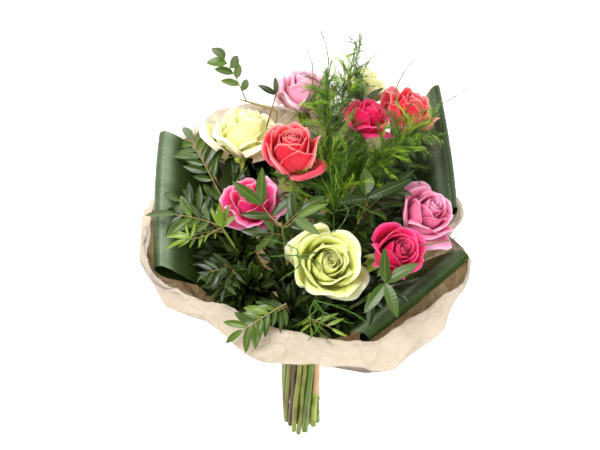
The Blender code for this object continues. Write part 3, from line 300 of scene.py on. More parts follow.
class Sheets:
    """Sheets and tubes gathered into one mesh, with a map of each and a tone for its colour."""

    def __init__(self):
        self.parts = []
        self.count = 0

    def add(self, verts, corners, spots, tones, slot):
        """Add faces, each a row of corner numbers, with their places on the map."""
        sizes = np.full(*corners.shape)
        self.parts.append((verts, (corners + self.count).ravel(), sizes, spots.reshape(-1, 2), tones,
                           np.full(len(corners), slot)))
        self.count += len(verts)

    def grid(self, points, tone=0.0, slot=0, wrap=False, u=None):
        """Add a sheet of rows and columns of points. A wrapped one closes in a ring."""
        rows, cols = points.shape[:2]
        wide = cols + 1 if wrap else cols
        u = np.linspace(0.0, 1.0, wide) if u is None else u
        v = np.linspace(0.0, 1.0, rows)
        i, j = (part.ravel() for part in np.meshgrid(np.arange(rows - 1), np.arange(wide - 1), indexing="ij"))
        low, high, far = i * cols, (i + 1) * cols, (j + 1) % cols
        corners = np.stack([low + j, low + far, high + far, high + j], axis=-1)
        spots = np.stack([u[j], v[i], u[j + 1], v[i], u[j + 1], v[i + 1], u[j], v[i + 1]], axis=-1)
        self.add(points.reshape(-1, 3), corners, spots, np.broadcast_to(tone, (rows, cols)).ravel(), slot)

    def shell(self, points, thickness, tone=0.0):
        """Add a thin closed body round a sheet. Its map runs from 0 to 1 over the face and on to 2 over the back."""
        rows, cols = points.shape[:2]
        v = np.linspace(0.0, 1.0, rows)[:, None, None]
        half = open_normals(points) * 0.5 * thickness * np.sqrt(1.0 - np.abs(2.0 * v - 1.0) ** 14)
        ring = np.concatenate([points + half, (points - half)[:, ::-1]], axis=1)
        face = np.linspace(0.0, 1.0, cols)
        self.grid(ring, tone, wrap=True, u=np.concatenate([face, 1.0 + face, [2.0]]))

    def fan(self, ring, tip, tone, slot):
        """Close a ring with triangles to one point."""
        count = len(ring)
        k = np.arange(count)
        corners = np.stack([k, (k + 1) % count, np.full(count, count)], axis=-1)
        self.add(np.vstack([ring, [tip]]), corners, np.tile([0.4, 0.0, 0.6, 0.0, 0.5, 0.5], count),
                 np.full(count + 1, tone), slot)

    def triangles(self, corners, tones):
        """Add loose triangles, given as an array of three corners each."""
        count = len(corners)
        self.add(corners.reshape(-1, 3), np.arange(3 * count).reshape(-1, 3),
                 np.tile([0.0, 0.0, 1.0, 0.0, 0.5, 1.0], count), np.repeat(tones, 3), 0)

    def tube(self, points, radii, sides=10, tone=0.0, slot=0, cap=None):
        """Add a round tube along the points. Given a cap, its ends are closed, the first one in the cap's material."""
        points = np.asarray(points, dtype=float)
        ahead = np.gradient(points, axis=0)
        ahead /= np.linalg.norm(ahead, axis=1)[:, None]
        side = aside(ahead[0])
        angles = (FULL_TURN * np.arange(sides) / sides)[:, None]
        rings = []
        for point, way, radius in zip(points, ahead, np.broadcast_to(radii, len(points))):
            side = square_to(side, way)
            rings.append(point + (np.cos(angles) * side + np.sin(angles) * np.cross(way, side)) * radius)
        self.grid(np.array(rings), tone, slot, wrap=True)
        if cap is not None:
            self.fan(rings[0][::-1], points[0], tone, cap)
            self.fan(rings[-1], points[-1], tone, slot)

    def build(self, name, materials, body_slot, *nodes):
        """Make the piece, which rides on the bouquet in place of the nodes."""
        verts, loops, sizes, spots, tones, slots = (np.concatenate(part) for part in zip(*self.parts))
        verts = np.clip(to_world(verts), CAD_BOX[0], CAD_BOX[1])
        mesh = bpy.data.meshes.new(name)
        mesh.vertices.add(len(verts))
        mesh.vertices.foreach_set("co", verts.ravel())
        mesh.loops.add(len(loops))
        mesh.loops.foreach_set("vertex_index", loops.astype(np.int32))
        mesh.polygons.add(len(sizes))
        mesh.polygons.foreach_set("loop_start", (np.cumsum(sizes) - sizes).astype(np.int32))
        mesh.polygons.foreach_set("material_index", slots.astype(np.int32))
        mesh.uv_layers.new(name="UVMap").data.foreach_set("uv", spots.ravel())
        mesh.attributes.new("tone", "FLOAT", "POINT").data.foreach_set("value", tones.astype(np.float32))
        mesh.update(calc_edges=True)
        mesh.shade_smooth()
        for material in materials:
            mesh.materials.append(material)
        piece = bpy.data.objects.new(name, mesh)
        bpy.context.scene.collection.objects.link(piece)
        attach(piece, "root")
        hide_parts(*nodes)


def open_normals(sheet):
    """Which way an open sheet faces at each place."""
    normal = np.cross(np.gradient(sheet, axis=1), np.gradient(sheet, axis=0))
    return normal / (np.linalg.norm(normal, axis=-1)[..., None] + 1e-12)


# Materials

class Shade:
    """A Principled material with its nodes."""

    def __init__(self, name, roughness, **sockets):
        self.material = bpy.data.materials.new(name)
        self.material.use_nodes = True
        self.tree = self.material.node_tree
        self.shader = self.tree.nodes["Principled BSDF"]
        for socket, value in {"Roughness": roughness, **sockets}.items():
            self.shader.inputs[socket.replace("_", " ")].default_value = value

    def node(self, kind, *links, **values):
        """Add a node. Values with small letters are its settings, and the others its inputs."""
        made = self.tree.nodes.new("ShaderNode" + kind)
        for key, value in values.items():
            if key.islower():
                setattr(made, key, value)
            else:
                made.inputs[key.replace("_", " ")].default_value = value
        for socket, link in zip(made.inputs, links):
            self.feed(socket, link)
        return made

    def feed(self, socket, value):
        """Link or set an input."""
        if isinstance(value, bpy.types.NodeSocket):
            self.tree.links.new(value, socket)
        else:
            socket.default_value = value

    def sums(self, operation, a, b=0.0, c=0.0):
        """The result of a sum."""
        return self.node("Math", a, b, c, operation=operation).outputs[0]

    def times(self, a, b):
        """The product."""
        return self.sums("MULTIPLY", a, b)

    def ridge(self, across):
        """How far a place is from the middle across the map, from 0 to 1."""
        return self.sums("ABSOLUTE", self.sums("MULTIPLY_ADD", across, 2.0, -1.0))

    def map_parts(self):
        """The map, and its places across and along."""
        coords = self.node("UVMap", uv_map="UVMap").outputs[0]
        return (coords, *self.node("SeparateXYZ", coords).outputs[:2])

    def tone(self):
        """The tone given to each sheet."""
        return self.node("Attribute", attribute_name="tone").outputs["Fac"]

    def speckle(self, coords, scale, detail=3.0, stretch=None):
        """Noise from 0 to 1 in the given coordinates."""
        if stretch:
            coords = self.node("Mapping", coords, Scale=stretch).outputs[0]
        return self.node("TexNoise", coords, Scale=scale, Detail=detail).outputs["Fac"]

    def object_coords(self):
        """Coordinates fixed to the object."""
        return self.node("TexCoord").outputs["Object"]

    def ramp(self, value, *stops):
        """A colour ramp with stops of position and colour."""
        made = self.node("ValToRGB", value)
        elements = made.color_ramp.elements
        while len(elements) < len(stops):
            elements.new(0.5)
        for element, (position, colour) in zip(elements, stops):
            element.position = position
            element.color = paint(colour)
        return made.outputs[0]

    def blend(self, share, a, b):
        """One colour laid over another."""
        made = self.node("Mix", share, data_type="RGBA")
        for socket, value in ((made.inputs[6], a), (made.inputs[7], b)):
            self.feed(socket, paint(value) if isinstance(value, tuple) else value)
        return made.outputs[2]

    def bump(self, height, strength, distance):
        """Small relief."""
        made = self.node("Bump", Strength=strength, Distance=distance)
        self.feed(made.inputs["Height"], height)
        self.feed(self.shader.inputs["Normal"], made.outputs[0])

    def colour(self, value):
        """Set the base colour, and return the finished material."""
        self.feed(self.shader.inputs["Base Color"], value)
        return self.material


def petal_material(rose):
    """Soft petals, deep at the root and pale at the rim, with fine veins and a paler back."""
    depth, petal, rim, back = rose.depth, rose.petal, rose.rim, rose.back
    shade = Shade("petal_" + rose.name, 0.50, Subsurface_Weight=0.40, Subsurface_Scale=0.004,
                  Subsurface_Radius=tuple(max(0.2, light) for light in linear(petal)),
                  Sheen_Weight=0.08, Specular_IOR_Level=0.22)
    coords, across, along = shade.map_parts()
    face = shade.ramp(along, (0.34, depth), (0.64, petal), (0.92, petal), (0.99, rim))
    outside = shade.ramp(along, (0.10, depth), (0.45, back), (0.88, petal), (1.0, rim))
    body = shade.blend(shade.sums("GREATER_THAN", across, 1.0), face, outside)
    edge = shade.ridge(shade.sums("FRACT", across))
    body = shade.blend(shade.times(shade.sums("POWER", edge, 9.0), 0.4), body, rim)
    streaks = shade.speckle(coords, 3.0, 4.0, (12.0, 1.2, 1.0))
    body = shade.blend(shade.times(shade.sums("POWER", streaks, 2.0), 0.6), body, back)
    body = shade.blend(shade.times(shade.tone(), 0.55), body, depth)
    shade.bump(shade.speckle(coords, 4.0, 5.0, (30.0, 2.0, 1.0)), 0.35, 0.0004)
    return shade.colour(body)


def leaflet_material():
    """Leathery leaflets with a pale midrib, yellow-green when young and dark when old; low filling leaves are painted
    dark as painted shade.
    """
    shade = Shade("pistacia_leaflet", 0.28, Specular_IOR_Level=0.36)
    coords, across, along = shade.map_parts()
    body = shade.ramp(shade.tone(), (0.0, (18, 28, 9)), (0.14, (38, 54, 17)), (0.35, (66, 90, 26)),
                      (0.7, (118, 146, 32)), (1.0, (158, 178, 40)))
    rib = shade.sums("SUBTRACT", 1.0, shade.sums("MINIMUM", shade.times(shade.ridge(across), 11.0), 1.0))
    body = shade.blend(shade.times(rib, 0.5), body, (150, 170, 84))
    patches = shade.speckle(shade.object_coords(), 55.0, 3.0)
    body = shade.blend(shade.times(patches, 0.5), body, (40, 58, 16))
    ribs = shade.sums("SINE", shade.sums("ADD", shade.times(along, 60.0), shade.times(rib, 8.0)))
    shade.bump(shade.sums("ADD", shade.times(ribs, 0.15), rib), 0.35, 0.0005)
    return shade.colour(body)


def aspidistra_material():
    """Glossy dark green with many parallel veins, and a painted sheen: a pale band painted into the colour along the
    fold as a highlight.
    """
    shade = Shade("aspidistra_leaf", 0.26, Specular_IOR_Level=0.20)
    coords, across, along = shade.map_parts()
    veins = shade.node("TexWave", shade.node("Mapping", coords, Scale=(1.0, 0.02, 1.0)).outputs[0],
                       Scale=8.0, Distortion=5.0, Detail=3.0, Detail_Scale=0.6).outputs["Fac"]
    fine = shade.speckle(coords, 6.0, 5.0, (46.0, 0.7, 1.0))
    broad = shade.speckle(coords, 2.2, 3.0, (3.0, 1.5, 1.0))
    body = shade.ramp(broad, (0.25, (16, 28, 6)), (0.75, (40, 58, 14)))
    body = shade.blend(shade.times(fine, 0.45), body, (60, 84, 28))
    body = shade.blend(shade.times(veins, 0.28), body, (20, 36, 10))
    # Painted highlight: a pale band painted into the colour just past the fold, standing in for the sheen of light on
    # the leaf.
    from_fold = shade.times(shade.sums("SUBTRACT", along, 0.60), 34.0)
    painted_sheen = shade.sums("POWER", shade.sums("MULTIPLY_ADD", from_fold, from_fold, 1.0), -2.0)
    body = shade.blend(shade.times(painted_sheen, shade.times(broad, 0.9)), body, (150, 170, 138))
    shade.bump(shade.sums("ADD", shade.times(veins, 0.8), fine), 0.30, 0.0005)
    return shade.colour(body)


def stem_material(name, dark, light, roughness=0.45):
    """A stalk with long streaks, small blemishes and brown patches."""
    shade = Shade(name, roughness, Coat_Weight=0.08, Coat_Roughness=0.35)
    streaks = shade.speckle(shade.map_parts()[0], 3.0, 4.0, (9.0, 3.0, 1.0))
    body = shade.blend(shade.tone(), dark, light)
    body = shade.blend(shade.times(streaks, 0.5), body, dark)
    blemish = shade.sums("GREATER_THAN", shade.speckle(shade.object_coords(), 240.0, 2.0), 0.66)
    body = shade.blend(shade.times(blemish, 0.35), body, (110, 84, 52))
    patches = shade.ramp(shade.speckle(shade.object_coords(), 52.0, 4.0, (1.0, 0.45, 1.0)),
                         (0.50, (0.0, 0.0, 0.0, 1.0)), (0.66, (0.62, 0.62, 0.62, 1.0)))
    body = shade.blend(patches, body, (104, 74, 48))
    shade.bump(streaks, 0.3, 0.0004)
    return shade.colour(body)


def cut_end_material():
    """The pale, damp cut end of a stem."""
    shade = Shade("cut_end", 0.5)
    along = shade.map_parts()[2]
    return shade.colour(shade.ramp(along, (0.0, (120, 140, 70)), (0.2, (196, 206, 150)), (0.5, (226, 226, 186))))


def fern_material():
    """Fresh green needles."""
    shade = Shade("fern_needle", 0.45, Subsurface_Weight=0.05, Subsurface_Scale=0.001)
    return shade.colour(shade.ramp(shade.tone(), (0.0, (30, 56, 8)), (0.5, (82, 124, 20)), (1.0, (150, 186, 48))))


def paper_material():
    """Kraft paper with fibres, faint cloudiness and fine creases, painted paler along the creases as a painted
    highlight.
    """
    shade = Shade("kraft_paper", 0.82, Specular_IOR_Level=0.25, Subsurface_Weight=0.40, Subsurface_Scale=0.004,
                  Subsurface_Radius=(1.0, 0.74, 0.52))
    place_at = shade.object_coords()
    body = shade.ramp(shade.speckle(place_at, 14.0, 4.0), (0.30, (173, 159, 144)), (0.70, (185, 172, 157)))
    fibres = shade.speckle(place_at, 420.0, 4.0, (1.0, 3.0, 1.0))
    body = shade.blend(shade.times(fibres, 0.35), body, (166, 146, 122))
    grain = shade.sums("ADD", fibres, shade.times(shade.speckle(place_at, 900.0, 2.0, (0.15, 1.0, 1.0)), 0.6))
    drift = shade.node("VectorMath", shade.node("TexNoise", place_at).outputs["Color"], (0.012, 0.012, 0.012),
                       operation="MULTIPLY").outputs[0]
    warped = shade.node("VectorMath", place_at, drift, operation="ADD").outputs[0]
    relief = shade.times(grain, 0.10)
    for scale, depth in ((26.0, 1.0), (60.0, 0.55)):
        cells = shade.node("TexVoronoi", warped, feature="DISTANCE_TO_EDGE", Scale=scale).outputs["Distance"]
        crease = shade.sums("MINIMUM", shade.times(cells, 9.0), 1.0)
        relief = shade.sums("ADD", relief, shade.times(crease, depth))
    shade.bump(relief, 0.8, 0.0014)
    # Painted highlight: the collar's tone is high along the creases, and this paints them paler.
    return shade.colour(shade.blend(shade.times(shade.tone(), 0.12), body, (206, 192, 172)))


def fibre_material(name, roughness, noise_of, relief, dark, light):
    """Dry strands or wood with its fibres along it."""
    shade = Shade(name, roughness)
    fibres = shade.speckle(shade.map_parts()[0], *noise_of)
    shade.bump(fibres, *relief)
    return shade.colour(shade.ramp(fibres, dark, light))


def shared_cut_end():
    """The cut ends' material, made once."""
    return bpy.data.materials.get("cut_end") or cut_end_material()


# Stem routes

Stem = namedtuple("Stem", "name kind top direction")


def rose_axis(rose):
    """The way the rose faces: its own direction, or leaning out a little more than its stem does."""
    if rose.axis:
        return unit(rose.axis)
    x, y, z = rose.centre
    lean = 1.3 * math.atan2(math.hypot(x, y), z)
    turn = math.atan2(y, x)
    return np.array((math.sin(lean) * math.cos(turn), math.sin(lean) * math.sin(turn), math.cos(lean)))


def rose_base(rose):
    """Where the petals start, at the top of the stem."""
    return rose.centre - rose_axis(rose) * BASE_TO_CENTRE * rose.radius


def loop_outward(loop):
    """The level direction from the axis towards the fold."""
    return unit((loop.fold[0], loop.fold[1], 0.0))


def all_stems():
    """Every stem with the place and direction of its upper end."""
    stems = []
    for rose in ROSES:
        axis = rose_axis(rose)
        stems.append(Stem("rose_" + rose.name, "rose", rose_base(rose) - axis * HIP_LENGTH, axis))
    for loop in LOOPS:
        out = loop_outward(loop)
        first, second = (np.array((out[0] * r, out[1] * r, z)) for r, z in loop.path[:2])
        stems.append(Stem("aspidistra_" + loop.name, "aspidistra", first, unit(second - first)))
    for spray in SPRAYS:
        stems.append(Stem("pistacia_" + spray.name, "pistacia", spray.top, unit(spray.top * (1.0, 1.0, 1.1))))
    for plume in PLUMES:
        stems.append(Stem("fern_" + plume.name, "fern", plume.foot, unit(plume.tip - plume.foot + 0.05 * UP)))
    stems.append(Stem("cut_twig", "twig", np.array((0.020, -0.014, BIND_HIGH)), UP))
    return stems


def push_apart(spots, need, free):
    """Move pairs of points on a level apart until each pair has the distance it needs."""
    for i in range(len(spots)):
        for j in range(i + 1, len(spots)):
            share = free[i] + free[j]
            away = spots[j] - spots[i]
            length = np.linalg.norm(away)
            short = need[i, j] - length
            if share > 0.0 and short > 0.0:
                step = away / max(length, 1e-9) * short
                spots[i] -= step * free[i] / share
                spots[j] += step * free[j] / share


def hermite(spot, stem, level):
    """A stem's free course between the binding and its top."""
    rise = stem.top[2] - BIND_HIGH
    t = (level - BIND_HIGH) / rise
    end = stem.top[:2]
    leave = 0.6 * (end - spot)
    arrive = stem.direction[:2] / max(stem.direction[2], 0.5) * rise
    return ((2 * t**3 - 3 * t**2 + 1) * spot + (t**3 - 2 * t**2 + t) * leave
            + (3 * t**2 - 2 * t**3) * end + (t**3 - t**2) * arrive)


def freedom(stem, level):
    """How freely a stem may be pushed aside at a height: less and less towards its top."""
    ease = max(0.0, min(1.0, (stem.top[2] - level) / 0.030))
    return ease * (0.4 if stem.kind == "rose" else 1.0)


def push_from_blooms(here, stems, free, level):
    """Keep the stems out of the rose heads."""
    for rose in ROSES:
        square = (rose.radius * 1.20) ** 2 - (level - rose.centre[2]) ** 2
        for n, stem in enumerate(stems):
            if square <= 0.0 or free[n] <= 0.0 or stem.name == "rose_" + rose.name:
                continue
            away = here[n] - rose.centre[:2]
            length = np.linalg.norm(away)
            short = math.sqrt(square) + STEM_RADIUS[stem.kind] + 0.001 - length
            if short > 0.0:
                here[n] += away / max(length, 1e-9) * short * min(1.0, free[n] * 2.0)


def push_from_wall(here, radii, free, reach):
    """Keep the stems inside the paper."""
    for n in range(len(here)):
        length = np.linalg.norm(here[n])
        over = length + radii[n] + 0.003 - reach
        if over > 0.0 and free[n] > 0.0:
            here[n] *= (length - over) / length


def lay_out_stems():
    """The stems' centre lines from their cut ends to their tops, clear of each other, and the bound bundle's radius."""
    stems = all_stems()
    radii = np.array([STEM_RADIUS[stem.kind] for stem in stems])
    tops = np.array([stem.top for stem in stems])
    spots = tops[:, :2] / tops[:, 2:] * FIRST_SPREAD
    for step in range(PACK_STEPS):
        if step < SQUEEZE_STEPS:
            spots *= SQUEEZE
        push_apart(spots, radii[:, None] + radii[None, :] + 1.6 * GAP, np.ones(len(stems)))
    bundle = float(np.max(np.linalg.norm(spots, axis=1) + radii))
    neck = bundle + GAP + 0.5 * PAPER_THICKNESS + 0.0003
    draw = random.Random(5)
    routes = {stem.name: [] for stem in stems}
    for stem, (x, y) in zip(stems, spots):
        end = TWIG_END if stem.kind == "twig" else -draw.uniform(STEM_SHORT, STEM_LONG)
        if y > 0.009:
            end = min(end, -STEM_LONG + 0.003)
        for k in range(5):
            z = end + (BIND_LOW - end) * k / 4
            c, s = math.cos(TWIST_RATE * (z - BIND_LOW)), math.sin(TWIST_RATE * (z - BIND_LOW))
            grow = 1.0 - SPREAD_RATE * (z - BIND_LOW)
            routes[stem.name].append(np.array(((x * c - y * s) * grow, (x * s + y * c) * grow, z)))
        routes[stem.name].append(np.array((x, y, BIND_HIGH)))
    carry = np.zeros_like(spots)
    level = BIND_HIGH + LEVEL_STEP
    while level < tops[:, 2].max():
        live = [i for i, stem in enumerate(stems) if stem.top[2] > level + 0.002]
        rising = [stems[i] for i in live]
        ideal = np.array([hermite(spots[i], stems[i], level) for i in live])
        free = np.array([freedom(stem, level) for stem in rising])
        here = ideal + carry[live] * 0.9 * free[:, None]
        blow = 1.0 + min(0.2, (level - BIND_HIGH) * 3.0)
        need = (radii[live][:, None] + radii[live][None, :]) * blow + 2.5 * GAP
        for step in range(CLEARING_STEPS):
            push_apart(here, need, free)
            push_from_blooms(here, rising, free, level)
            push_from_wall(here, radii[live], free, neck + WALL_SLOPE * (level - NECK_HIGH))
        carry[live] = here - ideal
        for stem, spot in zip(rising, here):
            routes[stem.name].append(np.array((*spot, level)))
        level += LEVEL_STEP
    for stem in stems[:-1]:
        routes[stem.name].append(stem.top)
    return routes, bundle


ROUTES, BUNDLE_RADIUS = lay_out_stems()


def in_a_bloom(points, reach=0.95):
    """Whether any of the points lies inside a rose head."""
    points = np.atleast_2d(points)
    for rose in ROSES:
        axis = rose_axis(rose)
        away = points - rose.centre
        up = away @ axis
        out = np.linalg.norm(away - up[:, None] * axis, axis=1)
        if np.any((out / (1.06 * rose.radius)) ** 2 + (up / (0.95 * rose.radius)) ** 2 < reach**2):
            return True
    return False


def point_at_height(route, z):
    """The place on a stem's route at a height."""
    for low, high in zip(route, route[1:]):
        if low[2] <= z <= high[2]:
            return low + (high - low) * (z - low[2]) / max(high[2] - low[2], 1e-9)
    return np.array(route[-1])


def stalk_line(name, count, *beyond):
    """Evenly spaced points along a stem, cut to length, a little uneven below the tie, and on to the places beyond."""
    draw = random.Random("cut " + name)
    line = smooth_curve([*ROUTES[name], *beyond], 240)
    low = line[0, 2]
    if line[0, 1] < 0.006 and name != "cut_twig":
        low = min(low + LONGEST_CUT, max(low, CUT_LEVEL - 0.8 * line[0, 1] + draw.uniform(-0.007, 0.003)))
    line = line[line[:, 2] >= low]
    free = smooth(-line[:, 2], 0.012, 0.050)
    for k in (0, 1):
        line[:, k] += UNEVEN * free * np.sin(line[:, 2] * draw.uniform(30, 80) + draw.uniform(0, 6.3))
    return smooth_curve(line[::4].tolist() + [line[-1]], count)


# Roses

# The course of a petal from its root to its rim, before the rim rolls back: the four points of a Bezier curve as
# distance from the head's axis and height, in shares of its radius, from the middle of the head to its outside
PETAL_SHARES = (0.0, 0.3, 0.6, 0.8, 1.0)
PETAL_COURSES = np.array((
    ((0.04, 0.40), (0.22, 0.45), (0.24, 1.00), (0.15, 1.46)),
    ((0.08, 0.28), (0.46, 0.30), (0.42, 0.95), (0.30, 1.43)),
    ((0.12, 0.16), (0.72, 0.18), (0.66, 0.85), (0.52, 1.37)),
    ((0.15, 0.08), (0.88, 0.08), (0.88, 0.78), (0.74, 1.26)),
    ((0.18, 0.03), (0.98, 0.02), (1.02, 0.72), (0.92, 1.10)),
))
PETAL_HALF_WIDTHS = (0.44, 0.56, 0.68, 0.76, 0.84)
PETAL_ROLLS = (6, 16, 46, 82, 108)
PETAL_THICKNESS = 0.00040


def petal_course(share, openness):
    """A petal's headings and length from its root to its rim."""
    corners = np.array([[np.interp(share, PETAL_SHARES, PETAL_COURSES[:, k, side]) for side in (0, 1)]
                        for k in range(4)])
    spread = openness * smooth(share, 0.35, 1.0)
    corners[2:, 0] += spread * np.array((0.12, 0.34))
    corners[2:, 1] -= spread * np.array((0.06, 0.30))
    t = np.linspace(0.0, 1.0, 60)[:, None]
    curve = ((1 - t) ** 3 * corners[0] + 3 * t * (1 - t) ** 2 * corners[1] + 3 * t * t * (1 - t) * corners[2]
             + t**3 * corners[3])
    steps = np.diff(curve, axis=0)
    lengths = np.linalg.norm(steps, axis=1)
    places = (np.cumsum(lengths) - 0.5 * lengths) / lengths.sum()
    return corners[0], places, np.unwrap(np.arctan2(steps[:, 1], steps[:, 0])), lengths.sum()


def petal_sheet(share, turn, rose, draw, rows, cols):
    """One petal in shares of the head's radius: from the tight middle, share 0, to the outermost, share 1."""
    u = np.linspace(-1.0, 1.0, cols)[None, :]
    v = np.linspace(0.0, 1.0, rows)[:, None]

    def ripple(slowest, fastest, shift=0.0):
        return np.sin(draw.uniform(slowest, fastest) * u + draw.uniform(0, 6.3) + shift)

    root, places, headings, length = petal_course(share, rose.openness)
    reach = 0.60 + 0.40 * (1.0 - np.abs(u) ** 2.3) ** 0.5
    reach = reach * draw.uniform(0.96, 1.04) + 0.04 * np.exp(-(u / 0.16) ** 2) * smooth(share, 0.3, 0.8)
    lean = draw.uniform(-0.03, 0.03)
    heading = np.interp(v * reach, places, headings) + lean * v
    roll = math.radians(np.interp(share, PETAL_SHARES, PETAL_ROLLS)) * draw.uniform(0.7, 1.25)
    roll = roll * (0.85 + 0.5 * rose.openness) * (0.70 + 0.30 * np.abs(u) ** 1.6 + draw.uniform(-0.3, 0.3) * u)
    heading = heading - roll * smooth(v, mix(0.92, 0.70, share), 1.0)
    step = length * reach / (rows - 1)
    first = np.zeros((1, cols))
    r = root[0] + np.concatenate([first, np.cumsum(np.cos(heading[1:]) * step, axis=0)])
    z = root[1] + np.concatenate([first, np.cumsum(np.sin(heading[1:]) * step, axis=0)])
    wide = np.interp(share, PETAL_SHARES, PETAL_HALF_WIDTHS) * (0.28 + 0.72 * smooth(v, 0.0, 0.7))
    wide = wide * draw.uniform(0.92, 1.08)
    ruffle = rose.ruffle * mix(0.010, 0.030, share)
    r = r + (0.02 + 0.04 * share) * u * smooth(v, 0.0, 0.4) - 0.03 * np.abs(u) ** 3 * v
    r = r + ruffle * ripple(3.0, 5.0) * v**3
    z = z + ruffle * ripple(4.0, 7.0) * v**4
    wave = (0.010 + 0.020 * max(rose.openness, 0.0)) * share
    r = r + wave * ripple(5.0, 8.0, 2.0 * v) * smooth(v, 0.2, 0.7)
    frill = 0.6 * max(rose.ruffle - 1.0, 0.0) * mix(0.010, 0.026, share)
    r = np.maximum(r + frill * ripple(10.0, 14.0) * v**6, 0.02)
    return around(r, turn + u * np.minimum(wide / (r + 0.08), 2.0), z)


def bud_sheet(turn, rows=14, cols=90, turns=2.2):
    """The scroll of furled petals at the middle of a head."""
    u = np.linspace(0.0, 1.0, cols)[None, :]
    v = np.linspace(0.0, 1.0, rows)[:, None]
    angle = turn + FULL_TURN * turns * u
    r = (0.020 + 0.155 * u**0.9) * (1.0 - 0.25 * v**2) + 0.020 * smooth(v, 0.85, 1.0) + 0.05 * (1.0 - v)
    return around(r, angle, mix(0.50, 1.42, v) + v * (0.03 - 0.05 * u + 0.02 * np.sin(angle * 1.5 + 1.0)))


def rose_head(rose, rows, cols):
    """A rose: a furled bud with petals round it, each wider and more open than the last."""
    draw = random.Random(rose.name)
    axis = rose_axis(rose)
    for k in (0, 1):
        axis = turned(axis, np.eye(3)[k], math.radians(rose.nod[k]))
    turn_matrix = np.array(Vector(axis).to_track_quat("Z", "Y").to_matrix())
    first_turn = math.radians(rose.turn)
    sheets = Sheets()

    def add(points, tone):
        sheets.shell(points * rose.radius @ turn_matrix.T + rose_base(rose), PETAL_THICKNESS, tone)

    add(bud_sheet(first_turn), 0.8)
    for n in range(rose.petals):
        share = n / (rose.petals - 1)
        turn = first_turn + n * GOLDEN_ANGLE + draw.uniform(-0.2, 0.2)
        points = petal_sheet(share, turn, rose, draw, rows, cols)
        add(points, 0.6 * (1.0 - share) + draw.uniform(0.0, 0.2))
    for way, size, openness in rose.guards:
        across, over, ahead = np.array(way) @ turn_matrix
        guard = petal_sheet(1.0, math.atan2(over, across), rose._replace(openness=openness), draw, rows, cols)
        add(guard * size, 0.05)
    sheets.build(rose.name + "_petals", [petal_material(rose)], "petals_" + rose.name, f"rose_{rose.name}_bloom")


def blade(root, way, normal, length, width, fold=0.3, droop=0.5, rows=8, cols=5, bare=0.05, blunt=0.75):
    """A leaf blade with a folded midrib, drooping along its length."""
    v = np.linspace(0.0, 1.0, rows)[:, None]
    u = np.linspace(-1.0, 1.0, cols)[None, :]
    half = 0.5 * width * np.maximum(np.sin(math.pi * v**0.86) ** blunt, bare * (1.0 - v))
    bend = droop * v
    ahead = length * v * (1.0 - bend**2 / 6.0)
    down = length * v * bend * 0.5
    lift = np.abs(u) * half * math.sin(fold)
    return (root + way * ahead[..., None] - normal * down[..., None]
            + np.cross(normal, way) * (u * half * math.cos(fold))[..., None] + normal * lift[..., None])


def swollen(line, radius, draw, every):
    """A radius along a stalk that swells at its joints."""
    z = line[:, 2]
    radii = np.full(len(line), radius)
    spot = z[0] + draw.uniform(0.3, 1.0) * every
    while spot < z[-1]:
        radii += draw.uniform(0.14, 0.36) * radius * np.exp(-((z - spot) / 0.0019) ** 2)
        spot += every * draw.uniform(0.7, 1.3)
    return radii


# The hip under a rose, as distance from the rose's axis and height under the petals
HIP_PROFILE = ((0.0034, -HIP_LENGTH), (0.0040, -0.0085), (0.0056, -0.0062), (0.0064, -0.0035), (0.0058, -0.0010),
               (0.0040, -0.0003))
THORNS = 7
SEPALS = 5


def rose_stalk(rose, materials):
    """A green stalk with thorns, the hip and its sepals."""
    draw = random.Random("stalk " + rose.name)
    sheets = Sheets()
    name = "rose_" + rose.name
    line = stalk_line(name, 130)
    radii = swollen(line, STEM_RADIUS["rose"] * draw.uniform(0.80, 0.95), draw, 0.026)
    tone = draw.choice((0.25, 0.7, 0.85, 1.0))
    sheets.tube(line, radii, 12, tone, 0, cap=1)
    for n in range(THORNS):
        spot = draw.randrange(8, 120)
        way = unit(line[spot + 1] - line[spot - 1])
        out = turned(aside(way), way, draw.uniform(0, 6.28))
        foot = line[spot] + out * radii[spot] * 0.9
        thorn = [foot, foot + out * 0.0010 - way * 0.0002, foot + out * 0.0020 - way * 0.0010]
        sheets.tube(thorn, [0.0010, 0.0006, 0.0001], 6, tone * 0.4)
    axis = rose_axis(rose)
    base = rose_base(rose)
    hip = smooth_curve(HIP_PROFILE, 12)
    sheets.tube([base + axis * h for r, h in hip], hip[:, 0], 14, tone)
    for n in range(SEPALS):
        out = turned(aside(axis), axis, math.radians(rose.turn + 36 + 72 * n))
        way = unit(out - 0.10 * axis + 0.30 * turned(out, axis, 1.57) * draw.uniform(-1, 1))
        root = base - axis * 0.0025 + out * 0.0042
        sepal = blade(root, way, square_to(axis, way), draw.uniform(0.013, 0.018), 0.0052, 0.3, 1.0, 9, 5, 0.9, 0.6)
        sheets.grid(sepal, tone * 0.3)
    sheets.build(name + "_stalk", materials, "rose_stem", name + "_stem")


def twig_piece(materials):
    """The short peeled twig between the stems, cut off square."""
    sheets = Sheets()
    sheets.tube(stalk_line("cut_twig", 40), STEM_RADIUS["twig"] * 0.98, 14, 0.5, 0, cap=1)
    sheets.build("peeled_twig", materials, "peeled_wood", "cut_twig")


# Aspidistra

WIDTH_PLACES = (0.0, 0.12, 0.25, 0.40, 0.55, 0.70, 0.85, 0.95, 1.0)
WIDTH_SHARES = (0.045, 0.30, 0.66, 0.92, 1.0, 1.0, 0.72, 0.34, 0.03)


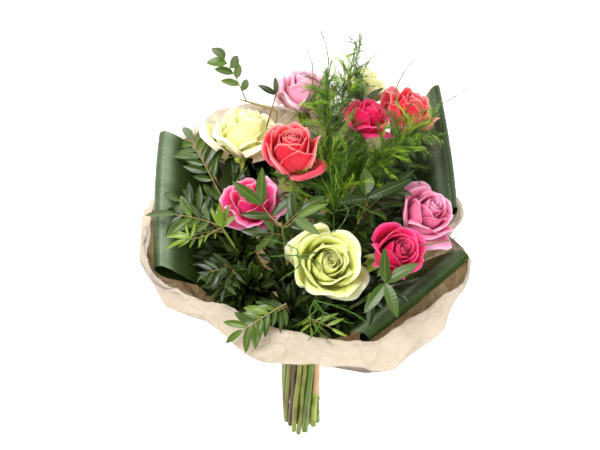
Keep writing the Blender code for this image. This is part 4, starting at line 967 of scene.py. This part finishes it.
def loop_row(loop, line, t, w):
    """A row of places across the folded leaf at t along its midrib."""
    out = loop_outward(loop)
    where = t * (len(line) - 1)
    i = min(int(where), len(line) - 2)
    r, z = line[i] + (line[i + 1] - line[i]) * (where - i)
    settle = min(1.0, max(0.0, (t - 0.02) / 0.30))
    slip = (loop.fold - out * math.hypot(loop.fold[0], loop.fold[1])) * settle * (1.0, 1.0, 0.0)
    wide = float(np.interp(np.clip(t + np.linspace(-0.03, 0.03, 7), 0.0, 1.0), WIDTH_PLACES, WIDTH_SHARES).mean())
    level = np.cross(out, UP)
    level = level * (1.0 if np.dot(level, unit(loop.run)) > 0 else -1.0)
    side = unit(unit(loop.run) * settle + level * (1.0 - settle))
    crown = 0.004 * (1.0 - w * w) * wide * 0.5
    across = np.outer(0.5 * loop.width * wide * w, side)
    return out * r + UP * z + slip + np.outer(crown, out) + np.outer(crown, UP) + across


def folded_leaf(loop, materials, rows, cols):
    """A broad leaf folded back on itself, with ribs pressed into it."""
    line = smooth_curve(loop.path, 400)
    w = np.linspace(-1.0, 1.0, cols)
    t = np.linspace(0.0, 1.0, rows)
    sheet = np.array([loop_row(loop, line, share, w) for share in t])
    normal = -open_normals(sheet)
    ribs = 0.00006 * np.sin(w * 52.0 + 2.0 * np.sin(w * 7.0)) + 0.00030 * np.exp(-(w / 0.02) ** 2)
    wave = 0.0009 * np.sin(9.0 * t[:, None] * math.pi + 2.0 * w) * np.abs(w) ** 2
    sheet = sheet + normal * (ribs + wave)[..., None]
    sheets = Sheets()
    sheets.grid(sheet + normal * 0.0003, 0.5)
    sheets.grid((sheet - normal * 0.0003)[:, ::-1], 0.5)
    stalk = stalk_line("aspidistra_" + loop.name, 110, sheet[int(0.04 * rows), cols // 2])
    radii = np.linspace(STEM_RADIUS["aspidistra"], STEM_RADIUS["aspidistra"] * 0.8, 110)
    radii[-6:] = np.linspace(radii[-6], 0.0012, 6)
    sheets.tube(stalk, radii, 12, 0.55, 1, cap=2)
    sheets.build("folded_leaf_" + loop.name, materials, "aspidistra_leaf", "aspidistra_" + loop.name)


# Pistacia

STAR_FACING = unit((0.0, -0.45, 0.90))
YOUNG = 0.6
FILLING_LOW = 0.145
FILLING_RISE = 0.088
LONGEST_LEAF = 0.095


def pinnate_leaf(sheets, start, tip, youth_and_shade, draw, size, roll=0.0, sparse=False):
    """A leaf with pairs of leaflets along its stalk and one at its end, or sparse with single ones."""
    reach = tip - start
    length = float(np.linalg.norm(reach))
    ahead = reach / length
    out = start * (1.0, 1.0, 0.0)
    up = UP + (unit(out) * 0.5 if np.linalg.norm(out) > 0.01 else 0.0)
    up = turned(square_to(up, ahead), ahead, roll)
    share = max(0.45, 1.0 - size / length)
    pairs = max(1, int(round(share * length / (0.40 * max(size, 0.020)))))
    sway = draw.uniform(-0.05, 0.05)

    def along(t):
        side = np.cross(up, ahead)
        return start + reach * t + up * 0.12 * length * math.sin(math.pi * t) + side * sway * length * t * t

    line = np.array([along(share * k / 14) for k in range(15)])
    sheets.tube(line, np.linspace(0.0008, 0.0004, 15), 6, 0.6 * (1.0 - youth_and_shade), 1)
    for k in range(pairs + 1):
        end = k == pairs
        t = share if end else min(share * (0.16 + 0.84 * (k + 0.5) / (pairs + 0.3)), share)
        way = unit(along(t + 0.02) - along(t - 0.02))
        side = unit(np.cross(up, way))
        for hand in (0,) if end else (-1, 1):
            if sparse and not end and (k + (hand > 0)) % 2:
                continue
            angle = 0.0 if end else math.radians(draw.uniform(40, 62))
            direction = way * math.cos(angle) + side * hand * math.sin(angle)
            direction = unit(direction + up * draw.uniform(-0.35, 0.45) * 0.6)
            normal = turned(square_to(up, direction), direction, draw.uniform(-0.5, 0.5))
            long = size * draw.uniform(0.82, 1.10) * (0.72 if youth_and_shade > YOUNG else 1.0) * (0.85 + 0.3 * (k > 0))
            wide = long * (0.20 if youth_and_shade > YOUNG else draw.uniform(0.27, 0.33)) * (1.7 if sparse else 1.0)
            samples = along(t) + np.outer((0.5, 0.9), direction) * long
            if in_a_bloom(samples) or outside_paper(samples):
                continue
            leaflet = blade(along(t), direction, normal, long, wide, 0.32, draw.uniform(0.1, 0.8))
            sheets.grid(leaflet, np.clip(youth_and_shade + draw.uniform(-0.12, 0.12), 0.0, 1.0))


def star(sheets, start, middle, tips, width, youth_and_shade, draw):
    """A stalk with single leaflets that spread from its end."""
    bow = 0.5 * (start + middle) - 0.004 * UP
    sheets.tube(smooth_curve([start, bow, middle], 10), np.linspace(0.0009, 0.0006, 10), 6, 0.6 * (1.0 - youth_and_shade), 1)
    for tip in tips:
        reach = tip - middle
        length = float(np.linalg.norm(reach))
        way = unit(reach + 0.12 * length * UP)
        normal = turned(square_to(STAR_FACING, way), way, draw.uniform(-0.4, 0.4))
        tone = np.clip(youth_and_shade + draw.uniform(-0.08, 0.08), 0.0, 1.0)
        droop = draw.uniform(0.8, 1.7) if width < 0.2 else draw.uniform(0.2, 0.5)
        sheets.grid(blade(middle, way, normal, length, length * width, 0.3, droop, 12, 7), tone)


def filling_tips(count):
    """Places under the flowers where leaves end that hide the depth of the bouquet."""
    tips = []
    for n in range(count):
        share = math.sqrt((n + 0.5) / count)
        height = FILLING_LOW + (FILLING_RISE - 0.026 * share) * ((n * 0.618) % 1.0)
        up = np.clip((height - NECK_HIGH) / 0.166, 0.0, 1.0)
        reach = share * (float(0.024 + 0.100 * up + 0.010 * np.sin(math.pi * up)) - 0.006)
        turn = GOLDEN_ANGLE * n
        lift = 0.020 * float(smooth(math.sin(turn), 0.0, 0.6)) * share
        tips.append(np.array((reach * math.cos(turn), reach * math.sin(turn), height + lift)))
    return tips


def nearest_spray(tip):
    """The spray whose stem passes nearest under a place."""
    below = [point_at_height(ROUTES["pistacia_" + spray.name], tip[2] - 0.030) for spray in SPRAYS]
    return min(range(len(SPRAYS)), key=lambda k: np.linalg.norm(below[k] - tip))


def pistacia_spray(spray, materials, tips, size):
    """A woody stem with its leaves, and the leaves that fill the space under the flowers."""
    draw = random.Random("spray " + spray.name)
    name = "pistacia_" + spray.name
    route = ROUTES[name]
    sheets = Sheets()
    line = stalk_line(name, 110)
    radii = np.interp(line[:, 2], (BIND_HIGH, 0.2), (STEM_RADIUS["pistacia"], 0.0012))
    radii[-5:] = np.linspace(radii[-5], 0.0005, 5)
    sheets.tube(line, radii * 0.98, 10, spray.bark, 2, cap=3)
    for height, tip, youth_and_shade, scale in spray.leaves:
        pinnate_leaf(sheets, point_at_height(route, height / MM), metres(tip), youth_and_shade, draw, size * scale,
                     sparse=spray.name == "back_left")
    for height, middle, ends, width, youth_and_shade in spray.stars:
        star(sheets, point_at_height(route, height / MM), metres(middle), metres(ends), width, youth_and_shade, draw)
    for tip in tips:
        start = point_at_height(route, tip[2] - draw.uniform(0.024, 0.050))
        if in_a_bloom(tip, 1.1) or np.linalg.norm(tip - start) > LONGEST_LEAF:
            continue
        # Painted shade: a filling leaf gets a darker tone the lower its tip lies, darkening the leaves deep in the
        # bouquet where shade falls. Leaves to the left are made a random amount lighter.
        youth_and_shade = draw.uniform(0.1, 0.3) * float(smooth(tip[2], 0.140, 0.215))
        youth_and_shade += 0.25 * draw.random() if tip[0] < -0.04 else 0.0
        pinnate_leaf(sheets, start, tip, youth_and_shade, draw, size * draw.uniform(0.70, 1.0), draw.uniform(-0.6, 0.6))
    sheets.build(name + "_leaves", materials, "pistacia_leaf", name)


# Fern

def plume_spine(plume, t):
    """A place along a plume's bowed upper stem."""
    rise = plume.tip - plume.foot
    return plume.foot + rise * t + UP * 0.10 * np.linalg.norm(rise) * math.sin(math.pi * t)


def fern_plume(plume, materials, needle_gap):
    """A feathery plume: a thin stem with wavering strands on all sides, each with fine needles."""
    draw = random.Random("fern " + plume.name)
    name = "fern_" + plume.name
    sheets = Sheets()
    line = np.array([*stalk_line(name, 90), *(plume_spine(plume, t) for t in np.linspace(0.05, 0.8, 20))])
    radii = np.interp(line[:, 2], (BIND_HIGH, 0.2, 0.28), (STEM_RADIUS["fern"], 0.0011, 0.0003))
    sheets.tube(line, radii, 8, 0.3, 0, cap=1)
    ahead = unit(plume.tip - plume.foot)
    for n in range(plume.strands):
        t = mix(-0.06, 0.85, draw.random() ** 1.5)
        side = turned(aside(ahead), ahead, draw.uniform(0, 6.28))
        way = unit(ahead * draw.uniform(-0.2, 1.2) + side * draw.uniform(0.15, 0.75))
        length = plume.reach * mix(1.0, 0.35, t) * draw.uniform(0.55, 1.2)
        strand = wavering(plume_spine(plume, t), way, length, draw)
        if in_a_bloom(strand[5:], 0.80):
            continue
        tone = draw.uniform(0.0, 1.0) ** 1.3
        sheets.tube(strand, np.linspace(0.00046, 0.00020, len(strand)), 3, tone)
        add_needles(sheets, strand, length, needle_gap, tone, draw)
    for start, end in plume.wisps:
        start = metres(start) if start else point_at_height(ROUTES[name], WISP_ROOT)
        end = metres(end)
        length = float(np.linalg.norm(end - start))
        side = np.array((draw.choice((-0.009, 0.009)), 0.004, -0.004)) * min(1.0, length / 0.03)
        strand = smooth_curve([start, mix(start, end, 0.35) + side, mix(start, end, 0.75) + 0.7 * side, end], 16)
        sheets.tube(strand, np.linspace(0.00065, 0.00035, 16), 4, 0.3)
        add_needles(sheets, strand, length, needle_gap * 3.0, 0.3, draw)
    sheets.build(name + "_feathers", materials, "fern_needles", name)


def wavering(start, way, length, draw, parts=14):
    """A thin strand that curls one way and wavers a little."""
    curl = turned(aside(way), way, draw.uniform(0, 6.28)) * draw.uniform(0.02, 0.13)
    places = [start]
    for k in range(parts):
        way = unit(way + curl + np.array([draw.gauss(0.0, 0.07) for axis in range(3)]))
        places.append(places[-1] + way * length / parts)
    return smooth_curve(places, parts + 1)


def add_needles(sheets, rib, length, gap, tone, draw):
    """Fine curved needles along a rib, fanned forward."""
    count = max(3, int(length / gap))
    numbers = np.random.default_rng(draw.randrange(1 << 30))
    s = np.repeat(np.linspace(0.05, 1.0, count), 3)
    total = len(s)
    s = np.clip(s + numbers.normal(0.0, 0.01, total), 0.0, 1.0)
    index = s * (len(rib) - 1)
    low = np.minimum(index.astype(int), len(rib) - 2)
    step = rib[low + 1] - rib[low]
    root = rib[low] + step * (index - low)[:, None]
    way = step / np.linalg.norm(step, axis=1)[:, None]
    outward = np.cross(way, numbers.normal(size=(total, 3)))
    outward /= np.linalg.norm(outward, axis=1)[:, None]
    spread = numbers.uniform(0.12, 0.70, total)[:, None]
    size = (numbers.uniform(0.005, 0.016, total) * (1.05 - 0.4 * s))[:, None]
    middle = root + (way * np.cos(spread) + outward * np.sin(spread)) * size * 0.5
    tip = middle + (way * np.cos(0.4 * spread) + outward * np.sin(0.4 * spread)) * size * 0.5
    across = np.cross(way, outward) * 0.00028
    tones = np.clip(tone + numbers.uniform(-0.15, 0.2, total), 0.0, 1.0)
    for foot, point in ((root, middle), (middle, tip)):
        sheets.triangles(np.stack([foot - across, foot + across, point], axis=1), tones)


# Paper

PAPER_COLUMNS = 36
PAPER_ROWS = 9
CREST_ROW = 6
ROW_PARTS = (4, 10, 9, 9, 9, 8, 12, 11)
COLUMN_PARTS = 11
SHEET_THICKNESS = 0.0004
RIM_LIFT = 0.005
# Where the rim is narrower, or wider if less than nothing: by how much, towards which side, and from how near to it
RIM_CUTS = ((0.42, (1, 0), 0.5), (0.16, (-1, 0), 0.5), (-0.14, (0, -1), 0.8))


@lru_cache(maxsize=1)
def paper_course():
    """The middle surface of the CAD sheet as rows, from the neck to the rim's edge, and columns round the axis.

    Its rim is drawn a little flatter.
    """
    corners = np.array([vert.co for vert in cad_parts["paper_wrap"].data.vertices])
    corners = np.unique(np.round((corners - BINDING_POINT) @ BOUQUET_AXES, 5), axis=0)
    column = np.round(np.arctan2(corners[:, 1], corners[:, 0]) / (FULL_TURN / PAPER_COLUMNS)).astype(int)
    sheet = np.zeros((PAPER_ROWS, PAPER_COLUMNS, 3))
    for k in range(PAPER_COLUMNS):
        left = list(corners[column % PAPER_COLUMNS == k])
        middles = []
        while left:
            first = left.pop()
            near = min(range(len(left)), key=lambda i: np.linalg.norm(left[i] - first))
            middles.append(0.5 * (first + left.pop(near)))
        middles.sort(key=lambda spot: spot[2])
        upper = sorted(middles[CREST_ROW - 1:], key=lambda spot: math.hypot(spot[0], spot[1]))
        sheet[:, k] = middles[:CREST_ROW - 1] + upper[:2] + sorted(upper[2:], key=lambda spot: -spot[2])
    out = sheet[-1] - sheet[CREST_ROW]
    out[:, 2] = 0.0
    sheet[-1] += 0.12 * out + RIM_LIFT * UP
    sheet[-2] = mix(sheet[-2], 0.5 * (sheet[-1] + sheet[CREST_ROW]), 0.6)
    return sheet


def outside_paper(points, spare=0.003):
    """Whether any of the points lies outside the paper's cone or under its rim."""
    for x, y, z in points:
        column = paper_course()[:, int(round(math.atan2(y, x) / (FULL_TURN / PAPER_COLUMNS))) % PAPER_COLUMNS]
        radii, heights = np.hypot(column[:, 0], column[:, 1]), column[:, 2]
        reach = math.hypot(x, y)
        if reach < radii[CREST_ROW]:
            wall = np.interp(z, heights[:CREST_ROW + 1], radii[:CREST_ROW + 1])
            if z < heights[CREST_ROW] and reach > wall - spare:
                return True
        elif z < np.interp(reach, radii[CREST_ROW:], heights[CREST_ROW:]) + spare:
            return True
    return False


def refined(sheet):
    """The sheet with many more rows and columns on smooth curves, and each row's place in the old rows."""
    last = len(sheet) - 1
    places = [k + t for k, parts in enumerate(ROW_PARTS) for t in np.arange(parts) / parts]
    rows = [catmull(sheet[max(k - 1, 0)], sheet[k], sheet[k + 1], sheet[min(k + 2, last)], t)
            for k, parts in enumerate(ROW_PARTS) for t in np.arange(parts) / parts]
    rows = np.array([*rows, sheet[last]])
    turns = [np.roll(rows, shift, axis=1) for shift in (1, 0, -1, -2)]
    fine = np.stack([catmull(*turns, t) for t in np.arange(COLUMN_PARTS) / COLUMN_PARTS], axis=2)
    return fine.reshape(len(rows), -1, 3), np.array([*places, last])


def closed_normals(sheet):
    """Which way the outside of a closed sheet faces at each place."""
    across = np.roll(sheet, -1, axis=1) - np.roll(sheet, 1, axis=1)
    normal = np.cross(across, np.gradient(sheet, axis=0))
    return normal / (np.linalg.norm(normal, axis=-1)[..., None] + 1e-12)


def zigzag(angles, seed, knots):
    """Folds round the axis: straight runs between sharp turns, from -1 to 1."""
    draw = random.Random(seed)
    spots = np.cumsum([draw.uniform(0.4, 1.6) for n in range(knots)])
    heights = [draw.uniform(0.35, 1.0) * (1 if n % 2 else -1) for n in range(knots)]
    return np.interp(angles % FULL_TURN, spots / spots[-1] * 2 * math.pi, heights, period=FULL_TURN)


def facets(points, scale, seed):
    """Flat facets between sharp creases: 0 on a crease and up to about 1 between."""
    values = []
    for x, y, z in points.reshape(-1, 3) * scale:
        near = noise.voronoi(Vector((x + seed, y, z)), distance_metric="DISTANCE", exponent=2.5)[0]
        values.append(near[1] - near[0])
    return np.array(values).reshape(points.shape[:-1])


def paper_collar(material, crease):
    """The kraft paper: gathered at the neck, crumpled over the cone, and its rim turned out in uneven folds."""
    sheet, places = refined(paper_course())
    angles = np.arctan2(sheet[..., 1], sheet[..., 0])
    rim = np.clip((places - CREST_ROW) / (PAPER_ROWS - 1 - CREST_ROW), 0.0, 1.0)[:, None]
    cone = smooth(places, 1.2, 2.6)[:, None]
    crest = int(np.argmax(places >= CREST_ROW))
    shorten = 0.18 * (1.0 + zigzag(angles[crest], 4, 16))
    for share, (x, y), start in RIM_CUTS:
        shorten = shorten + share * smooth(x * np.cos(angles[crest]) + y * np.sin(angles[crest]), start, 1.0)
    sheet = np.where(rim[..., None] > 0.0, sheet[crest] + (sheet - sheet[crest]) * (1.0 - shorten[:, None]), sheet)
    normal = closed_normals(sheet)
    pleats = zigzag(angles, 11, 34) + 0.5 * zigzag(angles, 12, 60)
    gather = 0.0016 * (1.5 + pleats) * smooth(places, 1.05, 1.5)[:, None] * (1.0 - smooth(places, 1.6, 4.0)[:, None])
    folds = zigzag(angles + 0.35 * rim + 0.04 * np.sin(9 * angles), 7, 28)
    broad, small = facets(sheet, 24.0, 3.1), facets(sheet, 66.0, 9.4)
    outward = gather + crease * cone * (broad + 0.35 * small) * (1.0 - 0.4 * rim)
    outward = outward + 0.45 * crease * folds * smooth(rim, 0.0, 0.8) - 0.25 * crease * rim
    sheet = sheet + normal * outward[..., None]
    half = 0.5 * SHEET_THICKNESS * closed_normals(sheet)
    layers = np.concatenate([sheet + half, (sheet - half)[::-1], (sheet + half)[:1]])
    # Painted highlight: a tone that is high along the creases, which the paper's material paints paler.
    painted_crease_highlight = smooth(np.minimum(broad * 1.2, small * 1.6), 0.10, 0.0) * cone
    sheets = Sheets()
    sheets.grid(layers, np.concatenate([painted_crease_highlight, painted_crease_highlight[::-1], painted_crease_highlight[:1]]), wrap=True)
    sheets.build("paper_collar", [material], "kraft_paper", "paper_wrap")


STRAND_RADIUS = 0.00085


def raffia_tie(name, node, inner, middle, half_height, turns, materials):
    """A strand wound round several times, with a knot and two short ends."""
    draw = random.Random(name)
    sheets = Sheets()
    u = np.linspace(0.0, 1.0, 40 * turns)
    for layer in range(2):
        angle = FULL_TURN * turns * u + layer * 1.3
        z = middle + half_height * (2.0 * u - 1.0) * (1.0 if layer == 0 else -0.9)
        z = z + 0.0004 * np.sin(3.0 * angle + layer)
        r = inner + 0.0007 + 0.0009 * layer + 0.00015 * np.sin(5.0 * angle)
        sheets.tube(around(r, angle, z), STRAND_RADIUS, 8, draw.uniform(0.2, 0.8), 0, cap=0)
    spot = np.array((0.0, inner + 0.0024, middle))
    knot = [spot + np.array((0.0030 * math.cos(a), 0.0006 * math.sin(2 * a), 0.0022 * math.sin(a)))
            for a in np.linspace(0.0, 6.0, 24)]
    sheets.tube(knot, 0.0009, 8, 0.5, 0, cap=0)
    for hand in (-1, 1):
        tail = [spot, spot + np.array((0.005 * hand, 0.0002, -0.003)), spot + np.array((0.009 * hand, 0.0, -0.009))]
        sheets.tube(smooth_curve(tail, 14), np.linspace(0.0009, 0.0006, 14), 8, 0.6, 0, cap=0)
    sheets.build(name, materials, "raffia", node)


# Settings

class BouquetRoseSettings(bpy.types.PropertyGroup):
    """Sizes of the roses."""
    rows: IntProperty(name="Rows", description="Rows of faces along a petal", default=16, min=6, max=40)
    columns: IntProperty(name="Columns", description="Columns of faces across a petal", default=17, min=5, max=41)
    stalk_dark: FloatVectorProperty(name="Stalk dark", description="Darker green of the stalks", subtype="COLOR",
                                    size=3, min=0.0, max=1.0, default=linear((98, 124, 32)))
    stalk_light: FloatVectorProperty(name="Stalk light", description="Lighter green of the stalks",
                                     subtype="COLOR", size=3, min=0.0, max=1.0, default=linear((212, 230, 96)))


class BouquetLeafSettings(bpy.types.PropertyGroup):
    """Sizes of the leaves, sprays and ferns."""
    leaflet: FloatProperty(name="Leaflet", description="Length of a pistacia leaflet", default=0.025, min=0.01,
                           max=0.05, unit="LENGTH")
    filling: IntProperty(name="Filling", description="Leaves that fill the space under the flowers", default=450,
                         min=0, max=800)
    needle_gap: FloatProperty(name="Needle gap", description="Distance between whorls of fern needles",
                              default=0.0017, min=0.0004, max=0.01, unit="LENGTH")
    leaf_rows: IntProperty(name="Leaf rows", description="Rows of faces along a folded leaf", default=120,
                           min=20, max=400)
    leaf_columns: IntProperty(name="Leaf columns", description="Columns of faces across a folded leaf",
                              default=49, min=9, max=201)
    bark_dark: FloatVectorProperty(name="Bark dark", description="Darker colour of the woody stems",
                                   subtype="COLOR", size=3, min=0.0, max=1.0, default=linear((112, 80, 74)))
    bark_light: FloatVectorProperty(name="Bark light", description="Lighter colour of the woody stems",
                                    subtype="COLOR", size=3, min=0.0, max=1.0, default=linear((178, 194, 84)))


class BouquetWrapSettings(bpy.types.PropertyGroup):
    """The paper and its ties."""
    crease: FloatProperty(name="Crease", description="Height of the paper's creases", default=0.0072, min=0.0,
                          max=0.01, unit="LENGTH")
    turns: IntProperty(name="Turns", description="Turns of a raffia tie", default=4, min=1, max=12)


class BouquetStageSettings(bpy.types.PropertyGroup):
    """The floor, the lights and the camera."""
    floor: FloatProperty(name="Floor", description="Side of the floor", default=12.0, min=1.0, max=50.0,
                         unit="LENGTH")
    key_power: FloatProperty(name="Key", description="Power of the main light", default=30.0, min=0.0,
                             max=500.0, unit="POWER")
    fill_power: FloatProperty(name="Fill", description="Power of the light beside the camera", default=17.0,
                              min=0.0, max=500.0, unit="POWER")
    sky: FloatProperty(name="Sky", description="Strength of the light from all around", default=0.22, min=0.0,
                       max=5.0)
    distance: FloatProperty(name="Distance", description="Camera's distance from the flowers", default=1.6,
                            min=0.5, max=10.0, unit="LENGTH")
    lens: FloatProperty(name="Lens", description="Focal length", default=100.8, min=20.0, max=300.0,
                        unit="CAMERA")


# Operators

class BOUQUET_OT_roses(bpy.types.Operator):
    """Add the heads of the ten roses"""
    bl_idname = "bouquet.roses"
    bl_label = "Rose heads"

    def execute(self, context):
        settings = context.scene.bouquet_roses
        for rose in ROSES:
            rose_head(rose, settings.rows, settings.columns)
        return {"FINISHED"}


class BOUQUET_OT_rose_stalks(bpy.types.Operator):
    """Add the stalks, hips and sepals of the roses"""
    bl_idname = "bouquet.rose_stalks"
    bl_label = "Rose stalks"

    def execute(self, context):
        settings = context.scene.bouquet_roses
        stalk = stem_material("rose_stalk", (*settings.stalk_dark, 1.0), (*settings.stalk_light, 1.0))
        materials = [stalk, shared_cut_end()]
        for rose in ROSES:
            rose_stalk(rose, materials)
        return {"FINISHED"}


class BOUQUET_OT_folded_leaves(bpy.types.Operator):
    """Add the three folded aspidistra leaves"""
    bl_idname = "bouquet.folded_leaves"
    bl_label = "Folded leaves"

    def execute(self, context):
        settings = context.scene.bouquet_leaves
        stalk = stem_material("aspidistra_stalk", (84, 118, 40), (150, 178, 66))
        materials = [aspidistra_material(), stalk, shared_cut_end()]
        for loop in LOOPS:
            folded_leaf(loop, materials, settings.leaf_rows, settings.leaf_columns)
        return {"FINISHED"}


class BOUQUET_OT_pistacia(bpy.types.Operator):
    """Add the sprays of pistacia"""
    bl_idname = "bouquet.pistacia"
    bl_label = "Pistacia"

    def execute(self, context):
        settings = context.scene.bouquet_leaves
        bark = stem_material("pistacia_bark", (*settings.bark_dark, 1.0), (*settings.bark_light, 1.0), 0.6)
        rachis = stem_material("pistacia_rachis", (128, 132, 72), (150, 84, 62))
        materials = [leaflet_material(), rachis, bark, shared_cut_end()]
        shares = [[] for spray in SPRAYS]
        for tip in filling_tips(settings.filling):
            shares[nearest_spray(tip)].append(tip)
        for spray, tips in zip(SPRAYS, shares):
            pistacia_spray(spray, materials, tips, settings.leaflet)
        return {"FINISHED"}


class BOUQUET_OT_fern(bpy.types.Operator):
    """Add the plumes of asparagus fern"""
    bl_idname = "bouquet.fern"
    bl_label = "Fern"

    def execute(self, context):
        materials = [fern_material(), shared_cut_end()]
        for plume in PLUMES:
            fern_plume(plume, materials, context.scene.bouquet_leaves.needle_gap)
        return {"FINISHED"}


class BOUQUET_OT_twig(bpy.types.Operator):
    """Add the peeled twig"""
    bl_idname = "bouquet.twig"
    bl_label = "Peeled twig"

    def execute(self, context):
        wood = fibre_material("peeled_wood", 0.6, (4.0, 5.0, (12.0, 2.0, 1.0)), (0.4, 0.0004),
                              (0.36, (228, 150, 66)), (0.5, (236, 196, 160)))
        twig_piece([wood, shared_cut_end()])
        return {"FINISHED"}


class BOUQUET_OT_paper(bpy.types.Operator):
    """Add the collar of kraft paper"""
    bl_idname = "bouquet.paper"
    bl_label = "Paper collar"

    def execute(self, context):
        paper_collar(paper_material(), context.scene.bouquet_wrap.crease)
        return {"FINISHED"}


class BOUQUET_OT_ties(bpy.types.Operator):
    """Add the two raffia ties"""
    bl_idname = "bouquet.ties"
    bl_label = "Raffia ties"

    def execute(self, context):
        turns = context.scene.bouquet_wrap.turns
        raffia = fibre_material("raffia", 0.7, (5.0, 4.0, (10.0, 40.0, 1.0)), (0.5, 0.0005),
                                (0.3, (170, 138, 84)), (0.7, (214, 188, 134)))
        raffia_tie("stem_raffia", "stem_tie", BUNDLE_RADIUS + GAP, 0.0, 0.0030, turns, [raffia])
        raffia_tie("paper_raffia", "paper_tie", BUNDLE_RADIUS + 0.0018, 0.016, 0.0020, turns - 1, [raffia])
        return {"FINISHED"}


class BOUQUET_OT_stage(bpy.types.Operator):
    """Add the floor, the lights and the camera"""
    bl_idname = "bouquet.stage"
    bl_label = "Stage"

    def execute(self, context):
        add_floor_and_sky(context.scene, context.scene.bouquet_stage)
        add_lights_and_camera(context.scene, context.scene.bouquet_stage)
        return {"FINISHED"}


# Stage

VIEW_ANGLE = math.radians(58.5)
FLOWER_HEIGHT = 0.195
PHOTO_WIDTH = 600


def add_floor_and_sky(scene, settings):
    """A plain white floor and light from all around."""
    mesh = bpy.data.meshes.new("floor")
    half = 0.5 * settings.floor
    mesh.from_pydata([(-half, -half, 0), (half, -half, 0), (half, half, 0), (-half, half, 0)], [], [(0, 1, 2, 3)])
    floor = bpy.data.objects.new("floor", mesh)
    floor.location.z = -0.0004
    scene.collection.objects.link(floor)
    white = Shade("floor_white", 0.9, Emission_Color=(1.0, 1.0, 1.0, 1.0), Emission_Strength=0.75)
    speck = white.speckle(white.object_coords(), 30.0, 2.0)
    mesh.materials.append(white.colour(white.ramp(speck, (0.0, (0.90, 0.90, 0.90, 1.0)),
                                                  (1.0, (0.92, 0.92, 0.92, 1.0)))))
    world = bpy.data.worlds.new("studio")
    world.use_nodes = True
    sky = world.node_tree.nodes["Background"]
    sky.inputs["Color"].default_value = (1.0, 1.0, 1.0, 1.0)
    sky.inputs["Strength"].default_value = settings.sky
    scene.world = world
    scene.view_settings.view_transform = "Standard"


def add_lights_and_camera(scene, settings):
    """Soft square lights turned to the flowers, and the camera, which looks down on them."""
    aim = to_world((0.0, 0.0, FLOWER_HEIGHT))
    back = np.array((0.0, -math.cos(VIEW_ANGLE), math.sin(VIEW_ANGLE)))
    up = np.array((0.0, -math.sin(VIEW_ANGLE), -math.cos(VIEW_ANGLE)))
    right = np.array((-1.0, 0.0, 0.0))
    for name, away, side, power in (
            ("key_light", back * 1.2 + up * 0.60 - right * 0.65, 0.9, settings.key_power),
            ("sheen_light", back * 0.5 + up * 0.5 + right * 1.1, 0.8, 0.4 * settings.fill_power),
            ("fill_light", back * 1.1 - up * 0.9 + right * 0.5, 0.9, settings.fill_power)):
        light = bpy.data.lights.new(name, "AREA")
        light.energy = power
        light.size = side
        lamp = bpy.data.objects.new(name, light)
        lamp.location = aim + away
        lamp.rotation_euler = Vector(-away).to_track_quat("-Z", "Y").to_euler()
        scene.collection.objects.link(lamp)
    camera = bpy.data.cameras.new("camera")
    camera.lens = settings.lens
    camera.shift_x = -1.0 / PHOTO_WIDTH
    camera.shift_y = 4.0 / PHOTO_WIDTH
    viewer = bpy.data.objects.new("camera", camera)
    turn = Matrix((right, up, back)).transposed().to_4x4()
    viewer.matrix_world = Matrix.Translation(aim + back * settings.distance) @ turn
    scene.collection.objects.link(viewer)
    scene.camera = viewer


class BOUQUET_PT_panel(bpy.types.Panel):
    """Lists the bouquet's pieces"""
    bl_label = "Bouquet"
    bl_idname = "BOUQUET_PT_panel"
    bl_space_type = "VIEW_3D"
    bl_region_type = "UI"
    bl_category = "Bouquet"

    def draw(self, context):
        for operator in OPERATORS:
            self.layout.operator(operator.bl_idname)
        for name in SETTINGS:
            box = self.layout.box()
            settings = getattr(context.scene, name)
            for key in settings.bl_rna.properties.keys():
                if key not in ("rna_type", "name"):
                    box.prop(settings, key)


OPERATORS = (
    BOUQUET_OT_roses, BOUQUET_OT_rose_stalks, BOUQUET_OT_folded_leaves, BOUQUET_OT_pistacia, BOUQUET_OT_fern,
    BOUQUET_OT_twig, BOUQUET_OT_paper, BOUQUET_OT_ties, BOUQUET_OT_stage,
)
SETTINGS = {
    "bouquet_roses": BouquetRoseSettings,
    "bouquet_leaves": BouquetLeafSettings,
    "bouquet_wrap": BouquetWrapSettings,
    "bouquet_stage": BouquetStageSettings,
}


def register():
    for cls in (*SETTINGS.values(), *OPERATORS, BOUQUET_PT_panel):
        bpy.utils.register_class(cls)
    for name, cls in SETTINGS.items():
        setattr(bpy.types.Scene, name, PointerProperty(type=cls))


def unregister():
    for name in SETTINGS:
        delattr(bpy.types.Scene, name)
    for cls in reversed((*SETTINGS.values(), *OPERATORS, BOUQUET_PT_panel)):
        bpy.utils.unregister_class(cls)


def main():
    """Make every piece and the stage."""
    register()
    bpy.ops.bouquet.roses()
    bpy.ops.bouquet.rose_stalks()
    bpy.ops.bouquet.folded_leaves()
    bpy.ops.bouquet.pistacia()
    bpy.ops.bouquet.fern()
    bpy.ops.bouquet.twig()
    bpy.ops.bouquet.paper()
    bpy.ops.bouquet.ties()
    bpy.ops.bouquet.stage()


if __name__ == "__main__":
    main()
